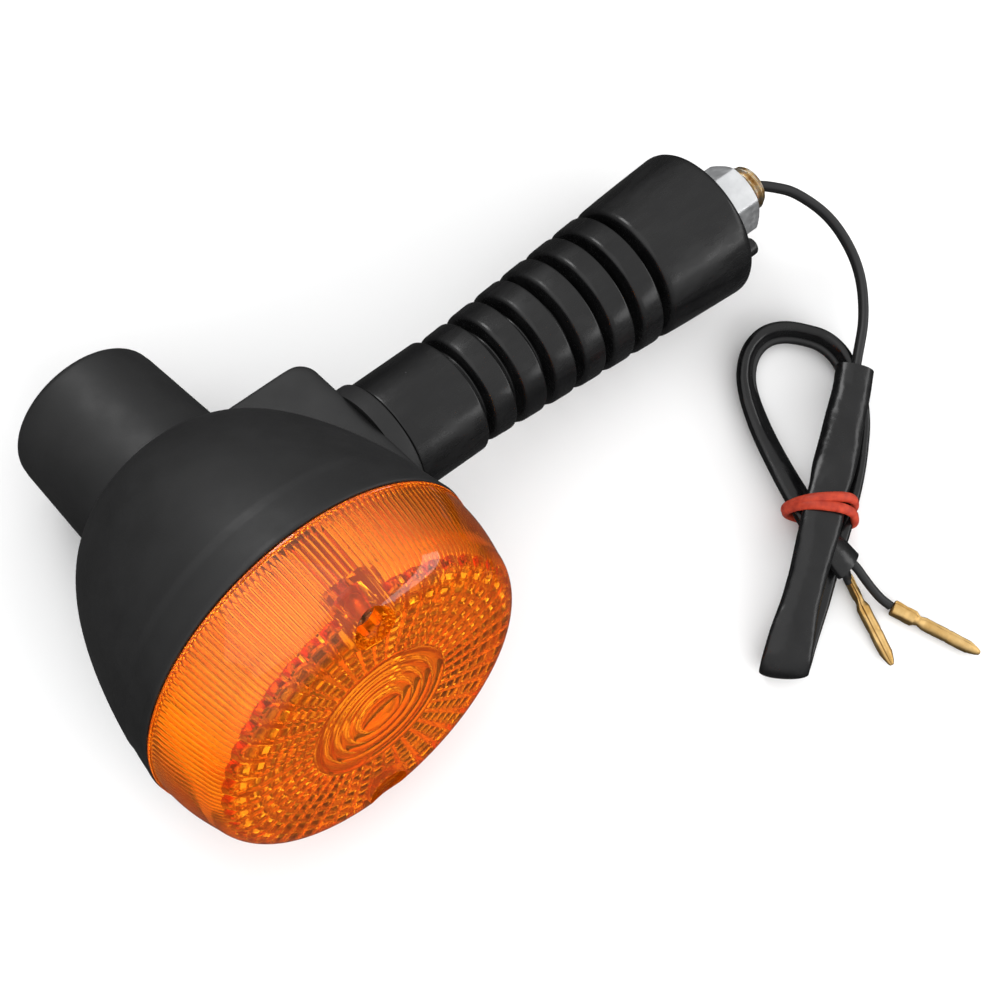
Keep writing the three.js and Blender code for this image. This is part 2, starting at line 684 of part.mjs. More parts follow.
function roundedOutline(path, halfWidth, low, high, corner) {
  path.moveTo(halfWidth, low + corner);
  path.absarc(halfWidth - corner, high - corner, corner, 0, Math.PI / 2);
  path.absarc(-halfWidth + corner, high - corner, corner, Math.PI / 2, Math.PI);
  path.absarc(-halfWidth + corner, low + corner, corner, Math.PI, Math.PI * 1.5);
  path.absarc(halfWidth - corner, low + corner, corner, Math.PI * 1.5, Math.PI * 2);
  return path;
}

function rubberBand() {
  const half = BAND_WIDTH / 2;
  const inner = half - BAND_THICKNESS;
  const outline = roundedOutline(new THREE.Shape(), half, BAND_BOTTOM, BAND_TOP, 5);
  const low = BAND_BOTTOM + BAND_THICKNESS;
  outline.holes.push(roundedOutline(new THREE.Path(), inner, low, BAND_TOP - BAND_THICKNESS, 3.6));
  const ringShape = new THREE.ExtrudeGeometry(outline, {
    depth: BAND_LENGTH,
    bevelEnabled: false,
    curveSegments: 5,
  });
  const across = new THREE.Vector3(-BAND_RUN.y, BAND_RUN.x, 0);
  const up = new THREE.Vector3(0, 0, 1);
  const along = new THREE.Vector3().crossVectors(across, up);
  ringShape.translate(0, 0, -BAND_LENGTH / 2);
  ringShape.applyMatrix4(new THREE.Matrix4().makeBasis(across, up, along));
  return mesh("rubber_band", ringShape.translate(...BAND_CENTRE, 0), BAND);
}

function wiring() {
  const group = new THREE.Group();
  group.add(leadOfPair("lead_live", 1), leadOfPair("lead_earth", -1));
  group.add(mesh("lead_sleeve", sweptTube(SLEEVE_ROUTE, SLEEVE_RADIUS, 8, 78), VINYL));
  group.add(mesh("lead_live_tail", sweptTube(LIVE_TAIL_ROUTE, LEAD_RADIUS, 8, 6), VINYL));
  group.add(mesh("lead_earth_tail", sweptTube(EARTH_TAIL_ROUTE, LEAD_RADIUS, 8, 2), VINYL));
  group.add(bullet("bullet_live", [54.9, -82.0, 1.8], [63.2, -100.4, 1.8]));
  group.add(bullet("bullet_earth", [51.2, -73.6, 1.8], [47.4, -88.8, 1.8]));
  group.add(rubberBand());
  return group;
}

// ---- Assembly ----

function lamp() {
  const group = new THREE.Group();
  group.add(housing(), lensSeal(), lens(), reflector(), socketShell());
  for (const [place, z] of SCREW_PLACES) {
    group.add(lensScrew(place, z));
  }
  group.add(bulbGlass(), bulbFilament(), bulbBase(), bulbInsulator(), bulbContact());
  group.add(contactDisc(), contactRivet(), contactSpring());
  group.add(innerLead("inner_lead_live", INNER_LIVE_ROUTE), innerLead("inner_lead_earth", INNER_EARTH_ROUTE));
  const headStudSpan = [HEAD_STUD_START_X, HEAD_FLANGE_X + FLANGE_THICKNESS];
  group.add(flangedStud("head_stud", HEAD_FLANGE_X, headStudSpan, ZINC));
  group.add(nut("head_nut", HEAD_NUT_X, HEAD_NUT_THICKNESS, 0.3), headWasher());
  group.add(stemHeadEnd(), stemMountEnd());
  group.add(ribbedPiece("stem_inner_ribs", 0, 1, SLEEVE_END_X + GAP, MIDDLE_START_X - GAP));
  group.add(ribbedPiece("stem_middle", 2, 3, MIDDLE_START_X, MIDDLE_END_X));
  group.add(ribbedPiece("stem_outer_ribs", 4, 5, MIDDLE_END_X + GAP, BASE_START_X - GAP));
  group.add(flangedStud("mount_stud", BASE_FLANGE_X, [BASE_FLANGE_X, STUD_END_X], YELLOW_ZINC));
  group.add(springWasher(), nut("mount_nut", NUT_X, NUT_THICKNESS, NUT_TURN));
  return group;
}

// Lays the lamp down: the stem's axis stays above the X axis and the lens tilts up by LENS_TILT.
function laidDown(group) {
  const stem = new THREE.Vector3(Math.cos(STEM_DIP), 0, -Math.sin(STEM_DIP));
  const backZ = -Math.sin(LENS_TILT);
  const backX = backZ * Math.tan(STEM_DIP);
  const back = new THREE.Vector3(backX, Math.sqrt(1 - backX * backX - backZ * backZ), backZ);
  const up = new THREE.Vector3().crossVectors(stem, back);
  group.quaternion.setFromRotationMatrix(new THREE.Matrix4().makeBasis(stem, back, up));
  group.position.copy(AXES_CROSS);
  return group;
}

const root = new THREE.Group();
root.add(laidDown(lamp()), wiring());

export default root;
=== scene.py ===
import json
import math

import bmesh
import bpy
import numpy as np
from mathutils import Matrix, Vector


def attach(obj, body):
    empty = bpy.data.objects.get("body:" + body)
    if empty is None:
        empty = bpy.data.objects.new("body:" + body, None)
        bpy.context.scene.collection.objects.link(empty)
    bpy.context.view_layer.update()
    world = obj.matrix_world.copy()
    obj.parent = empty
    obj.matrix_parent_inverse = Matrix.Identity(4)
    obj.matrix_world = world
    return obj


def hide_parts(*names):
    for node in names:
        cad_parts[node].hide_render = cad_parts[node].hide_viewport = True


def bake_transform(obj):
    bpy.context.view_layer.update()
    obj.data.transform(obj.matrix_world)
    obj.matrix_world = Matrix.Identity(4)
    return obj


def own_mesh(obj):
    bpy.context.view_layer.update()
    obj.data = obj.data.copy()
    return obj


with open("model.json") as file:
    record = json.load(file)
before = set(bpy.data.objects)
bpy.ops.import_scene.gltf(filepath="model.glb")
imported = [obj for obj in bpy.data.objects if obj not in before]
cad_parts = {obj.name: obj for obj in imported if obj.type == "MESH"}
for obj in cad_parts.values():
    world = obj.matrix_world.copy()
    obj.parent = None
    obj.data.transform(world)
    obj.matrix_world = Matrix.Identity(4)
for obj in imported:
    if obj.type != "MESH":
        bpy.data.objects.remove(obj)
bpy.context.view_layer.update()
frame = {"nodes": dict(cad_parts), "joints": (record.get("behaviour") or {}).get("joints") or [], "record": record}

MM = 0.001


# ---- The lamp's own frame ----
# Millimetres: X along the stem towards the stud, Y from the lens towards the back, Z up on the motorcycle.

JOINTS = {joint["name"]: joint for joint in frame["joints"]}
HEAD_HINGE_X = 63.0
STEM = Vector(frame["record"]["mounts"][0]["axis"])
BACK = -Vector(JOINTS["lens_off"]["axis"])
UP = STEM.cross(BACK)
AXES_CROSS = Vector(JOINTS["stem_bend_up_down"]["pos_m"]) - STEM * (HEAD_HINGE_X * MM)
LAMP_AXES = np.array([STEM, BACK, UP])


def to_row(points):
    return np.asarray(points, float) * MM @ LAMP_AXES + np.array(AXES_CROSS)


def to_lamp(points):
    return (np.asarray(points, float) - np.array(AXES_CROSS)) @ LAMP_AXES.T / MM


# ---- Mesh helpers ----


def grid_faces(rows, columns, closed_rows=False):
    """Quads of a grid of points whose rows are rings, row after row."""
    last_row = rows if closed_rows else rows - 1
    r, c = np.meshgrid(np.arange(last_row), np.arange(columns), indexing="ij")
    r2, c2 = (r + 1) % rows, (c + 1) % columns
    corners = [r * columns + c, r * columns + c2, r2 * columns + c2, r2 * columns + c]
    return np.stack([k.ravel() for k in corners], axis=1)


def new_mesh(name, points, faces, merge=2e-7):
    """An object from points in the row frame, in metres, with doubled points merged and faces out."""
    mesh = bpy.data.meshes.new(name)
    mesh.from_pydata([tuple(p) for p in points], [], [tuple(int(i) for i in f) for f in faces])
    work = bmesh.new()
    work.from_mesh(mesh)
    bmesh.ops.remove_doubles(work, verts=work.verts, dist=merge)
    bmesh.ops.dissolve_degenerate(work, dist=merge, edges=work.edges)
    bmesh.ops.recalc_face_normals(work, faces=work.faces)
    work.to_mesh(mesh)
    work.free()
    piece = bpy.data.objects.new(name, mesh)
    bpy.context.scene.collection.objects.link(piece)
    return piece


def capped(rows, columns):
    """Faces of a tube along rows of points, with both ends closed."""
    faces = [tuple(f) for f in grid_faces(rows, columns)]
    faces.append(tuple(range(columns)))
    faces.append(tuple(range(rows * columns - 1, (rows - 1) * columns - 1, -1)))
    return faces


def lamp_mesh(name, grid, closed_rows=False):
    """An object from a grid of lamp points whose columns go all the way round."""
    rows, columns, _ = grid.shape
    return new_mesh(name, to_row(grid.reshape(-1, 3)), grid_faces(rows, columns, closed_rows))


def joined(name, pieces):
    """Several objects as one mesh."""
    points, faces = [], []
    for piece in pieces:
        start = len(points)
        points.extend(tuple(v.co) for v in piece.data.vertices)
        faces.extend([start + i for i in face.vertices] for face in piece.data.polygons)
        remove(piece)
    return new_mesh(name, points, faces)


def remove(piece):
    mesh = piece.data
    bpy.data.objects.remove(piece)
    bpy.data.meshes.remove(mesh)


def around(axis, radius, distance, turns):
    """Grid points at radius and distance, turned about the lamp's X or Y axis by each angle."""
    radius, distance, turns = np.broadcast_arrays(radius, distance, turns)
    cos, sin = radius * np.cos(turns), radius * np.sin(turns)
    order = (distance, cos, sin) if axis == "X" else (cos, distance, sin)
    return np.stack(order, axis=-1)


def angles(count):
    return np.linspace(0, 2 * np.pi, count, endpoint=False)


def turned(name, axis, profile, segments=96, closed=False, shift=(0, 0, 0)):
    """A profile of (radius, distance) points turned about the lamp's X or Y axis."""
    profile = np.array(profile, float)
    grid = around(axis, profile[:, :1], profile[:, 1:], angles(segments)[None, :])
    return lamp_mesh(name, grid + np.array(shift, float), closed_rows=closed)


def rounded(corners, steps=4):
    """A profile whose corners, given as (radius, distance, rounding), are replaced by soft bends."""
    corners = [np.array(c, float) for c in corners]
    points = []
    for i, corner in enumerate(corners):
        if corner[2] <= 0:
            points.append(corner[:2])
            continue
        before, after = corners[i - 1][:2], corners[(i + 1) % len(corners)][:2]
        here = corner[:2]
        into, out = before - here, after - here
        reach_in = min(corner[2], 0.49 * np.linalg.norm(into))
        reach_out = min(corner[2], 0.49 * np.linalg.norm(out))
        a = here + into / np.linalg.norm(into) * reach_in
        b = here + out / np.linalg.norm(out) * reach_out
        for t in np.linspace(0, 1, steps + 1):
            points.append((1 - t) ** 2 * a + 2 * t * (1 - t) * here + t * t * b)
    return points


def arc(centre, radius, start, end, steps):
    turn = np.linspace(start, end, steps + 1)
    return [(centre[0] + radius * math.cos(a), centre[1] + radius * math.sin(a)) for a in turn]


def bezier(a, b, c, d, steps):
    a, b, c, d = (np.array(p, float) for p in (a, b, c, d))
    t = np.linspace(0, 1, steps + 1)[:, None]
    return (1 - t) ** 3 * a + 3 * t * (1 - t) ** 2 * b + 3 * t * t * (1 - t) * c + t**3 * d


def combine(piece, other, operation):
    """Joins or cuts piece with another object, which is used up."""
    step = piece.modifiers.new("combine", "BOOLEAN")
    step.operation = operation
    step.solver = "MANIFOLD"
    step.object = other
    depsgraph = bpy.context.evaluated_depsgraph_get()
    made = bpy.data.meshes.new_from_object(piece.evaluated_get(depsgraph))
    piece.modifiers.clear()
    old = piece.data
    piece.data = made
    bpy.data.meshes.remove(old)
    remove(other)
    return piece


def lamp_points(mesh):
    """A mesh's points in the lamp's frame."""
    co = np.zeros(len(mesh.vertices) * 3)
    mesh.vertices.foreach_get("co", co)
    return to_lamp(co.reshape(-1, 3))


def mark_pattern(mesh):
    """Stores the lamp coordinates that the materials' patterns follow."""
    place = mesh.attributes.new("pattern", "FLOAT_VECTOR", "POINT")
    place.data.foreach_set("vector", lamp_points(mesh).astype(np.float32).ravel())


def finished(piece, body, finish, replaced, sharp):
    """Gives a mesh its shading, its pattern coordinates and its material, hides the CAD nodes it replaces, and
    attaches it to its body if it has one.
    """
    mesh = piece.data
    mesh.polygons.foreach_set("use_smooth", np.ones(len(mesh.polygons), bool))
    mesh.set_sharp_from_angle(angle=math.radians(sharp))
    mark_pattern(mesh)
    mesh.materials.clear()
    mesh.materials.append(finish)
    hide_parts(*replaced)
    if body:
        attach(piece, body)
    return piece


# ---- Materials ----


class Nodes:
    """A material's node tree, with short calls for the nodes used here."""

    def __init__(self, name, **constants):
        self.material = bpy.data.materials.new(name)
        self.material.use_nodes = True
        self.tree = self.material.node_tree
        self.shader = self.tree.nodes["Principled BSDF"]
        for key, value in constants.items():
            self.shader.inputs[key.replace("_", " ")].default_value = value

    def add(self, kind, **settings):
        node = self.tree.nodes.new(kind)
        for key, value in settings.items():
            setattr(node, key, value)
        return node

    def link(self, source, target):
        self.tree.links.new(source, target)

    def pattern(self, stretch=(1, 1, 1)):
        """The piece's own coordinates in millimetres, stretched."""
        place = self.add("ShaderNodeAttribute", attribute_name="pattern")
        scale = self.add("ShaderNodeVectorMath", operation="MULTIPLY")
        scale.inputs[1].default_value = stretch
        self.link(place.outputs["Vector"], scale.inputs[0])
        return scale.outputs["Vector"]

    def noise(self, size, detail=4.0, roughness=0.55, stretch=(1, 1, 1)):
        """Noise from 0 to 1 with features of about size millimetres."""
        node = self.add("ShaderNodeTexNoise")
        node.inputs["Scale"].default_value = 1.0 / size
        node.inputs["Detail"].default_value = detail
        node.inputs["Roughness"].default_value = roughness
        self.link(self.pattern(stretch), node.inputs["Vector"])
        return node.outputs["Fac"]

    def ramp(self, value, stops):
        """Maps a value through (position, grey or colour) stops."""
        node = self.add("ShaderNodeValToRGB")
        elements = node.color_ramp.elements
        while len(elements) < len(stops):
            elements.new(0.5)
        for element, (position, colour) in zip(elements, stops):
            element.position = position
            grey = isinstance(colour, (int, float))
            element.color = (colour, colour, colour, 1) if grey else (*colour, 1)
        self.link(value, node.inputs["Fac"])
        return node.outputs["Color"]

    def mix(self, factor, a, b, blend="MIX"):
        node = self.add("ShaderNodeMix", data_type="RGBA", blend_type=blend)
        for socket, value in ((node.inputs[0], factor), (node.inputs[6], a), (node.inputs[7], b)):
            if isinstance(value, bpy.types.NodeSocket):
                self.link(value, socket)
            else:
                socket.default_value = value if isinstance(value, (int, float)) else (*value, 1)
        return node.outputs[2]

    def math(self, operation, a, b=0.0):
        node = self.add("ShaderNodeMath", operation=operation)
        for socket, value in zip(node.inputs, (a, b)):
            if isinstance(value, bpy.types.NodeSocket):
                self.link(value, socket)
            else:
                socket.default_value = value
        return node.outputs[0]

    def specks(self, size, amount):
        """Sparse small spots, 1 on a spot and 0 off it."""
        cells = self.add("ShaderNodeTexVoronoi")
        cells.inputs["Scale"].default_value = 1.0 / size
        self.link(self.pattern(), cells.inputs["Vector"])
        near = self.ramp(cells.outputs["Distance"], [(0.0, 1.0), (0.09, 0.0)])
        chosen = self.ramp(cells.outputs["Color"], [(1 - amount - 0.01, 0.0), (1 - amount, 1.0)])
        return self.math("MULTIPLY", near, chosen)

    def colour(self, socket):
        self.link(socket, self.shader.inputs["Base Color"])

    def roughness(self, socket):
        self.link(socket, self.shader.inputs["Roughness"])

    def bump(self, *layers):
        """Adds (height, millimetres) layers of bump, one on the other."""
        normal = None
        for height, depth in layers:
            node = self.add("ShaderNodeBump")
            node.inputs["Distance"].default_value = depth * MM
            node.inputs["Strength"].default_value = 1.0
            self.link(height, node.inputs["Height"])
            if normal is not None:
                self.link(normal, node.inputs["Normal"])
            normal = node.outputs["Normal"]
        self.link(normal, self.shader.inputs["Normal"])


def housing_plastic():
    n = Nodes("housing_plastic", Specular_IOR_Level=0.34)
    grey = n.ramp(n.noise(14, detail=3), [(0.3, (0.0105, 0.0105, 0.0107)), (0.7, (0.0155, 0.0155, 0.0158))])
    dust = n.math("MULTIPLY", n.specks(3.2, 0.1), n.noise(20, detail=2))
    n.colour(n.mix(dust, grey, (0.30, 0.30, 0.29)))
    n.roughness(n.ramp(n.noise(5, detail=6), [(0.3, 0.42), (0.7, 0.55)]))
    n.bump((n.noise(0.35, detail=2), 0.012), (n.noise(30, detail=1), 0.03))
    return n.material


def stem_rubber():
    n = Nodes("stem_rubber", Specular_IOR_Level=0.36)
    smear = n.noise(6, detail=7, roughness=0.68, stretch=(0.35, 1, 1))
    grey = n.ramp(smear, [(0.3, (0.0030, 0.0030, 0.0032)), (0.75, (0.0085, 0.0085, 0.0087))])
    dust = n.math("MULTIPLY", n.specks(2.6, 0.12), n.noise(9, detail=2))
    n.colour(n.mix(dust, grey, (0.20, 0.20, 0.20)))
    n.roughness(n.ramp(smear, [(0.3, 0.14), (0.5, 0.24), (0.7, 0.46)]))
    n.bump((n.noise(0.5, detail=3), 0.01), (n.noise(9, detail=2), 0.14))
    return n.material


def amber_plastic():
    n = Nodes("amber_plastic", IOR=1.49, Transmission_Weight=0.965, Specular_IOR_Level=0.2)
    # Painted glow: a faint orange emission that stands for light scattered inside the plastic.
    n.shader.inputs["Emission Strength"].default_value = 0.05
    n.shader.inputs["Emission Color"].default_value = (1.0, 0.15, 0.0, 1)
    # The tint attribute carries the lens's colours, painted glints and shade among them.
    tint = n.add("ShaderNodeAttribute", attribute_name="tint")
    cloud = n.ramp(n.noise(11, detail=3), [(0.3, (1.0, 0.86, 0.8)), (0.7, (1.0, 1.0, 1.0))])
    n.colour(n.mix(1.0, tint.outputs["Color"], cloud, blend="MULTIPLY"))
    n.roughness(n.ramp(n.noise(4, detail=5), [(0.35, 0.02), (0.75, 0.06)]))
    n.bump((n.noise(5, detail=2), 0.01))
    return n.material


def metal(name, low, high, rough, depth=0.006):
    """A plated or bare metal whose colour drifts from low to high."""
    n = Nodes(name, Metallic=1.0)
    drift = n.noise(3.5, detail=4)
    n.colour(n.ramp(drift, [(0.3, low), (0.72, high)]))
    n.roughness(n.ramp(n.noise(1.2, detail=5), [(0.3, rough[0]), (0.7, rough[1])]))
    n.bump((n.noise(0.42, detail=4), depth))
    return n.material


def yellow_zinc():
    n = Nodes("yellow_zinc", Metallic=1.0)
    drift = n.noise(1.6, detail=3)
    stops = [
        (0.3, (0.36, 0.20, 0.07)), (0.45, (0.56, 0.40, 0.20)), (0.56, (0.50, 0.47, 0.40)),
        (0.64, (0.60, 0.26, 0.09)), (0.75, (0.42, 0.36, 0.26)),
    ]
    n.colour(n.ramp(drift, stops))
    n.roughness(n.ramp(n.noise(1.0, detail=4), [(0.3, 0.26), (0.7, 0.45)]))
    n.bump((n.noise(0.4, detail=3), 0.008))
    return n.material


def clear_glass():
    n = Nodes("clear_glass", IOR=1.5, Transmission_Weight=1.0, Roughness=0.01)
    n.colour(n.ramp(n.noise(9, detail=2), [(0.3, (0.95, 0.97, 0.97)), (0.7, (0.99, 0.99, 0.98))]))
    return n.material


def lead_vinyl():
    n = Nodes("lead_vinyl", Specular_IOR_Level=0.4)
    n.colour(n.ramp(n.noise(5, detail=4), [(0.3, (0.0075, 0.0075, 0.0080)), (0.7, (0.0140, 0.0140, 0.0145))]))
    n.roughness(n.ramp(n.noise(2.5, detail=4), [(0.3, 0.36), (0.7, 0.52)]))
    n.bump((n.noise(1.2, detail=3), 0.02))
    return n.material


def sleeve_vinyl():
    n = Nodes("sleeve_vinyl", Specular_IOR_Level=0.36)
    smear = n.noise(6, detail=4)
    n.colour(n.ramp(smear, [(0.3, (0.0035, 0.0035, 0.0038)), (0.7, (0.0075, 0.0075, 0.0078))]))
    n.roughness(n.ramp(n.noise(3.0, detail=5), [(0.3, 0.18), (0.55, 0.24), (0.75, 0.34)]))
    n.bump((n.noise(1.1, detail=3), 0.010), (n.noise(5.5, detail=2), 0.30))
    return n.material


def band_rubber():
    n = Nodes("band_rubber", Specular_IOR_Level=0.3)
    n.colour(n.ramp(n.noise(1.6, detail=5), [(0.3, (0.30, 0.022, 0.010)), (0.7, (0.50, 0.052, 0.020))]))
    n.roughness(n.ramp(n.noise(0.8, detail=4), [(0.3, 0.42), (0.7, 0.6)]))
    n.bump((n.noise(0.5, detail=4), 0.03))
    return n.material


def dark_plain(name, low, high, rough, grain=1.5):
    """A simple dark finish for the pieces inside the lamp."""
    n = Nodes(name)
    n.colour(n.ramp(n.noise(grain, detail=4), [(0.3, low), (0.7, high)]))
    n.roughness(n.ramp(n.noise(grain * 0.6, detail=4), [(0.3, rough[0]), (0.7, rough[1])]))
    n.bump((n.noise(grain * 0.3, detail=3), 0.02))
    return n.material


def floor_paint():
    n = Nodes("floor_paint", Roughness=0.75, Specular_IOR_Level=0.2)
    n.shader.inputs["Base Color"].default_value = (0.93, 0.93, 0.93, 1)
    return n.material


FINISH = {
    "housing_plastic": housing_plastic(),
    "stem_rubber": stem_rubber(),
    "amber_plastic": amber_plastic(),
    "yellow_zinc_steel": yellow_zinc(),
    "bulb_clear_glass": clear_glass(),
    "lead_vinyl": lead_vinyl(),
    "sleeve_vinyl": sleeve_vinyl(),
    "band_rubber": band_rubber(),
}
for name, *values in (
    ("zinc_steel", (0.66, 0.67, 0.68), (0.80, 0.81, 0.82), (0.42, 0.58)),
    ("brass", (0.56, 0.33, 0.10), (0.82, 0.57, 0.25), (0.34, 0.52), 0.02),
    ("spring_steel", (0.42, 0.42, 0.43), (0.58, 0.58, 0.6), (0.25, 0.4)),
    ("reflector_chrome", (0.80, 0.80, 0.80), (0.88, 0.88, 0.87), (0.05, 0.14), 0.004),
    ("tungsten", (0.34, 0.34, 0.35), (0.5, 0.5, 0.5), (0.3, 0.5)),
    ("solder", (0.55, 0.55, 0.56), (0.68, 0.68, 0.69), (0.35, 0.6)),
):
    FINISH[name] = metal(name, *values)
for name, *values in (
    ("fibre", (0.17, 0.09, 0.045), (0.27, 0.15, 0.08), (0.6, 0.8)),
    ("black_glass", (0.008, 0.008, 0.009), (0.016, 0.016, 0.017), (0.12, 0.25)),
    ("seal_rubber", (0.012, 0.012, 0.012), (0.03, 0.03, 0.03), (0.7, 0.9), 0.8),
):
    FINISH[name] = dark_plain(name, *values)

# ---- Camera, lights and floor ----

# The camera's place and its right and back directions, in the lamp's frame.
CAMERA_AT = to_row([-119.55, -209.60, 350.05])
CAMERA_RIGHT = Vector(np.array([0.74586, -0.6661, 0.00119]) @ LAMP_AXES)
CAMERA_BACK = Vector(np.array([-0.38551, -0.4302, 0.81628]) @ LAMP_AXES)
SENSOR = 36.0
FOCAL_LENGTH = 82.7173


def camera():
    data = bpy.data.cameras.new("camera")
    data.sensor_width = SENSOR
    data.lens = FOCAL_LENGTH
    data.clip_start = 0.01
    eye = bpy.data.objects.new("camera", data)
    back = CAMERA_BACK.normalized()
    right = (CAMERA_RIGHT - back * CAMERA_RIGHT.dot(back)).normalized()
    turn = Matrix((right, back.cross(right), back)).transposed()
    eye.matrix_world = Matrix.Translation(Vector(CAMERA_AT)) @ turn.to_4x4()
    bpy.context.scene.collection.objects.link(eye)
    bpy.context.scene.camera = eye


def softbox(name, place, target, size, power, mirrored=True):
    """A soft area light, which shiny pieces mirror or not."""
    data = bpy.data.lights.new(name, "AREA")
    data.shape = "RECTANGLE"
    data.size, data.size_y = size
    data.energy = power
    lamp = bpy.data.objects.new(name, data)
    lamp.location = place
    lamp.rotation_euler = (Vector(target) - Vector(place)).to_track_quat("-Z", "Y").to_euler()
    lamp.visible_glossy = mirrored
    bpy.context.scene.collection.objects.link(lamp)


def studio():
    """A white room that is brightest overhead, four soft lights and a pale floor."""
    world = bpy.data.worlds.new("studio")
    world.use_nodes = True
    tree = world.node_tree
    place = tree.nodes.new("ShaderNodeTexCoord")
    split = tree.nodes.new("ShaderNodeSeparateXYZ")
    tree.links.new(place.outputs["Generated"], split.inputs[0])
    rise = tree.nodes.new("ShaderNodeMapRange")
    rise.interpolation_type = "SMOOTHERSTEP"
    for socket, value in zip(("From Min", "From Max", "To Min", "To Max"), (-0.5, 1.0, 0.06, 1.05)):
        rise.inputs[socket].default_value = value
    tree.links.new(split.outputs["Z"], rise.inputs["Value"])
    background = tree.nodes["Background"]
    background.inputs["Color"].default_value = (1.0, 1.0, 1.0, 1)
    tree.links.new(rise.outputs["Result"], background.inputs["Strength"])
    bpy.context.scene.world = world
    softbox("top", (-0.3, 0.35, 1.0), (0, 0, 0), (1.2, 1.2), 2.0)
    softbox("back", (0.05, 0.78, 0.58), (0, 0, 0.02), (0.4, 0.3), 2.2)
    softbox("front", (-0.05, -0.85, 0.42), (0, 0, 0.03), (1.4, 0.7), 8.0, mirrored=False)
    softbox("strip", (0.62, -0.45, 0.30), (0, 0, 0.03), (0.9, 0.20), 1.5)
    bpy.context.scene.view_settings.view_transform = "Standard"
    floor = new_mesh("floor", [(-3, -3, 0), (3, -3, 0), (3, 3, 0), (-3, 3, 0)], [(0, 1, 2, 3)])
    floor.data.materials.append(floor_paint())
    floor.visible_glossy = False


camera()
studio()

# ---- Leads, sleeve, terminals and band ----

PAIR_ROUTE = [
    (0.0797, 0.0031, 0.0155), (0.0861, 0.0031, 0.0148), (0.0899, -0.0005, 0.0145), (0.0921, -0.0024, 0.0140),
    (0.0937, -0.0048, 0.0132), (0.0955, -0.0081, 0.0120), (0.0968, -0.0119, 0.0107),
    (0.0971, -0.0160, 0.0094), (0.0968, -0.0198, 0.0083), (0.0957, -0.0235, 0.0076),
    (0.0939, -0.0269, 0.0072), (0.0913, -0.0303, 0.0071), (0.0882, -0.0336, 0.0071),
    (0.0848, -0.0362, 0.0072), (0.0816, -0.0387, 0.0073),
]
SLEEVE_ROUTE = [
    (0.0806, -0.0395, 0.0070), (0.0763, -0.0430, 0.0072), (0.0713, -0.0463, 0.0080),
    (0.0659, -0.0500, 0.0094), (0.0607, -0.0533, 0.0106), (0.0557, -0.0567, 0.0110),
    (0.0511, -0.0601, 0.0109), (0.0469, -0.0632, 0.0102), (0.0422, -0.0667, 0.0092),
    (0.0376, -0.0700, 0.0085), (0.0326, -0.0735, 0.0080), (0.0286, -0.0766, 0.0071),
    (0.0269, -0.0784, 0.0049), (0.0286, -0.0778, 0.0027), (0.0324, -0.0759, 0.0020),
    (0.0427, -0.0707, 0.0020), (0.0486, -0.0673, 0.0024), (0.0543, -0.0637, 0.0037),
    (0.0598, -0.0604, 0.0037), (0.0650, -0.0571, 0.0026), (0.0704, -0.0530, 0.0020),
    (0.0753, -0.0485, 0.0020), (0.0788, -0.0437, 0.0020), (0.0808, -0.0389, 0.0020),
    (0.0817, -0.0344, 0.0020), (0.0809, -0.0304, 0.0020), (0.0786, -0.0271, 0.0020),
    (0.0754, -0.0240, 0.0020), (0.0714, -0.0224, 0.0020), (0.0669, -0.0232, 0.0020),
    (0.0629, -0.0263, 0.0020), (0.0602, -0.0306, 0.0021), (0.0582, -0.0355, 0.0026),
    (0.0562, -0.0412, 0.0036), (0.0543, -0.0470, 0.0050), (0.0528, -0.0524, 0.0062),
    (0.0518, -0.0575, 0.0067), (0.0511, -0.0627, 0.0068), (0.0513, -0.0670, 0.0066),
    (0.0517, -0.0701, 0.0058),
]
LIVE_TAIL_ROUTE = [
    (0.0526, -0.0706, 0.0064), (0.0529, -0.0739, 0.0053), (0.0533, -0.0767, 0.0040),
    (0.0540, -0.0794, 0.0026), (0.0548, -0.0816, 0.0019),
]
EARTH_TAIL_ROUTE = [(0.0512, -0.0708, 0.0039), (0.0512, -0.0717, 0.0028), (0.0512, -0.0728, 0.0022)]
LEAD_RADIUS = 0.95 * MM
# The live lead lies on the earth lead, a little to the lamp's side.
PAIR_SHIFT = 1.0 * MM * np.array([-0.30, -0.14, 1.0])


def smooth_route(points, per_span):
    """Points along the centripetal Catmull-Rom curve through the given ones."""
    points = np.array(points, float)
    first, last = 2 * points[0] - points[1], 2 * points[-1] - points[-2]
    all_points = np.vstack([first, points, last])
    made = []
    for i in range(1, len(all_points) - 2):
        p = all_points[i - 1:i + 3]
        knots = np.concatenate([[0], np.cumsum(np.sqrt(np.linalg.norm(np.diff(p, axis=0), axis=1)))])
        for t in np.linspace(knots[1], knots[2], per_span, endpoint=False):
            made.append(catmull_point(p, knots, t))
    made.append(points[-1])
    return np.array(made)


def eased(line, passes):
    """A line with its small kinks smoothed away, between fixed ends."""
    line = line.copy()
    for _ in range(passes):
        line[1:-1] = 0.25 * line[:-2] + 0.5 * line[1:-1] + 0.25 * line[2:]
    return line


def catmull_point(p, k, t):
    def between(a, b, ka, kb):
        return a * (kb - t) / (kb - ka) + b * (t - ka) / (kb - ka)

    low = [between(p[i], p[i + 1], k[i], k[i + 1]) for i in range(3)]
    middle = [between(low[i], low[i + 1], k[i], k[i + 2]) for i in range(2)]
    return between(middle[0], middle[1], k[1], k[2])


def travelled(line):
    return np.concatenate([[0], np.cumsum(np.linalg.norm(np.diff(line, axis=0), axis=1))])


def carried_frames(line, side):
    """Unit tangents, sides and normals that turn as little as possible along a line."""
    tangents = np.gradient(line, axis=0)
    tangents /= np.linalg.norm(tangents, axis=1)[:, None]
    sides = []
    for tangent in tangents:
        side = side - tangent * np.dot(side, tangent)
        side = side / np.linalg.norm(side)
        sides.append(side)
    sides = np.array(sides)
    return tangents, sides, np.cross(tangents, sides)


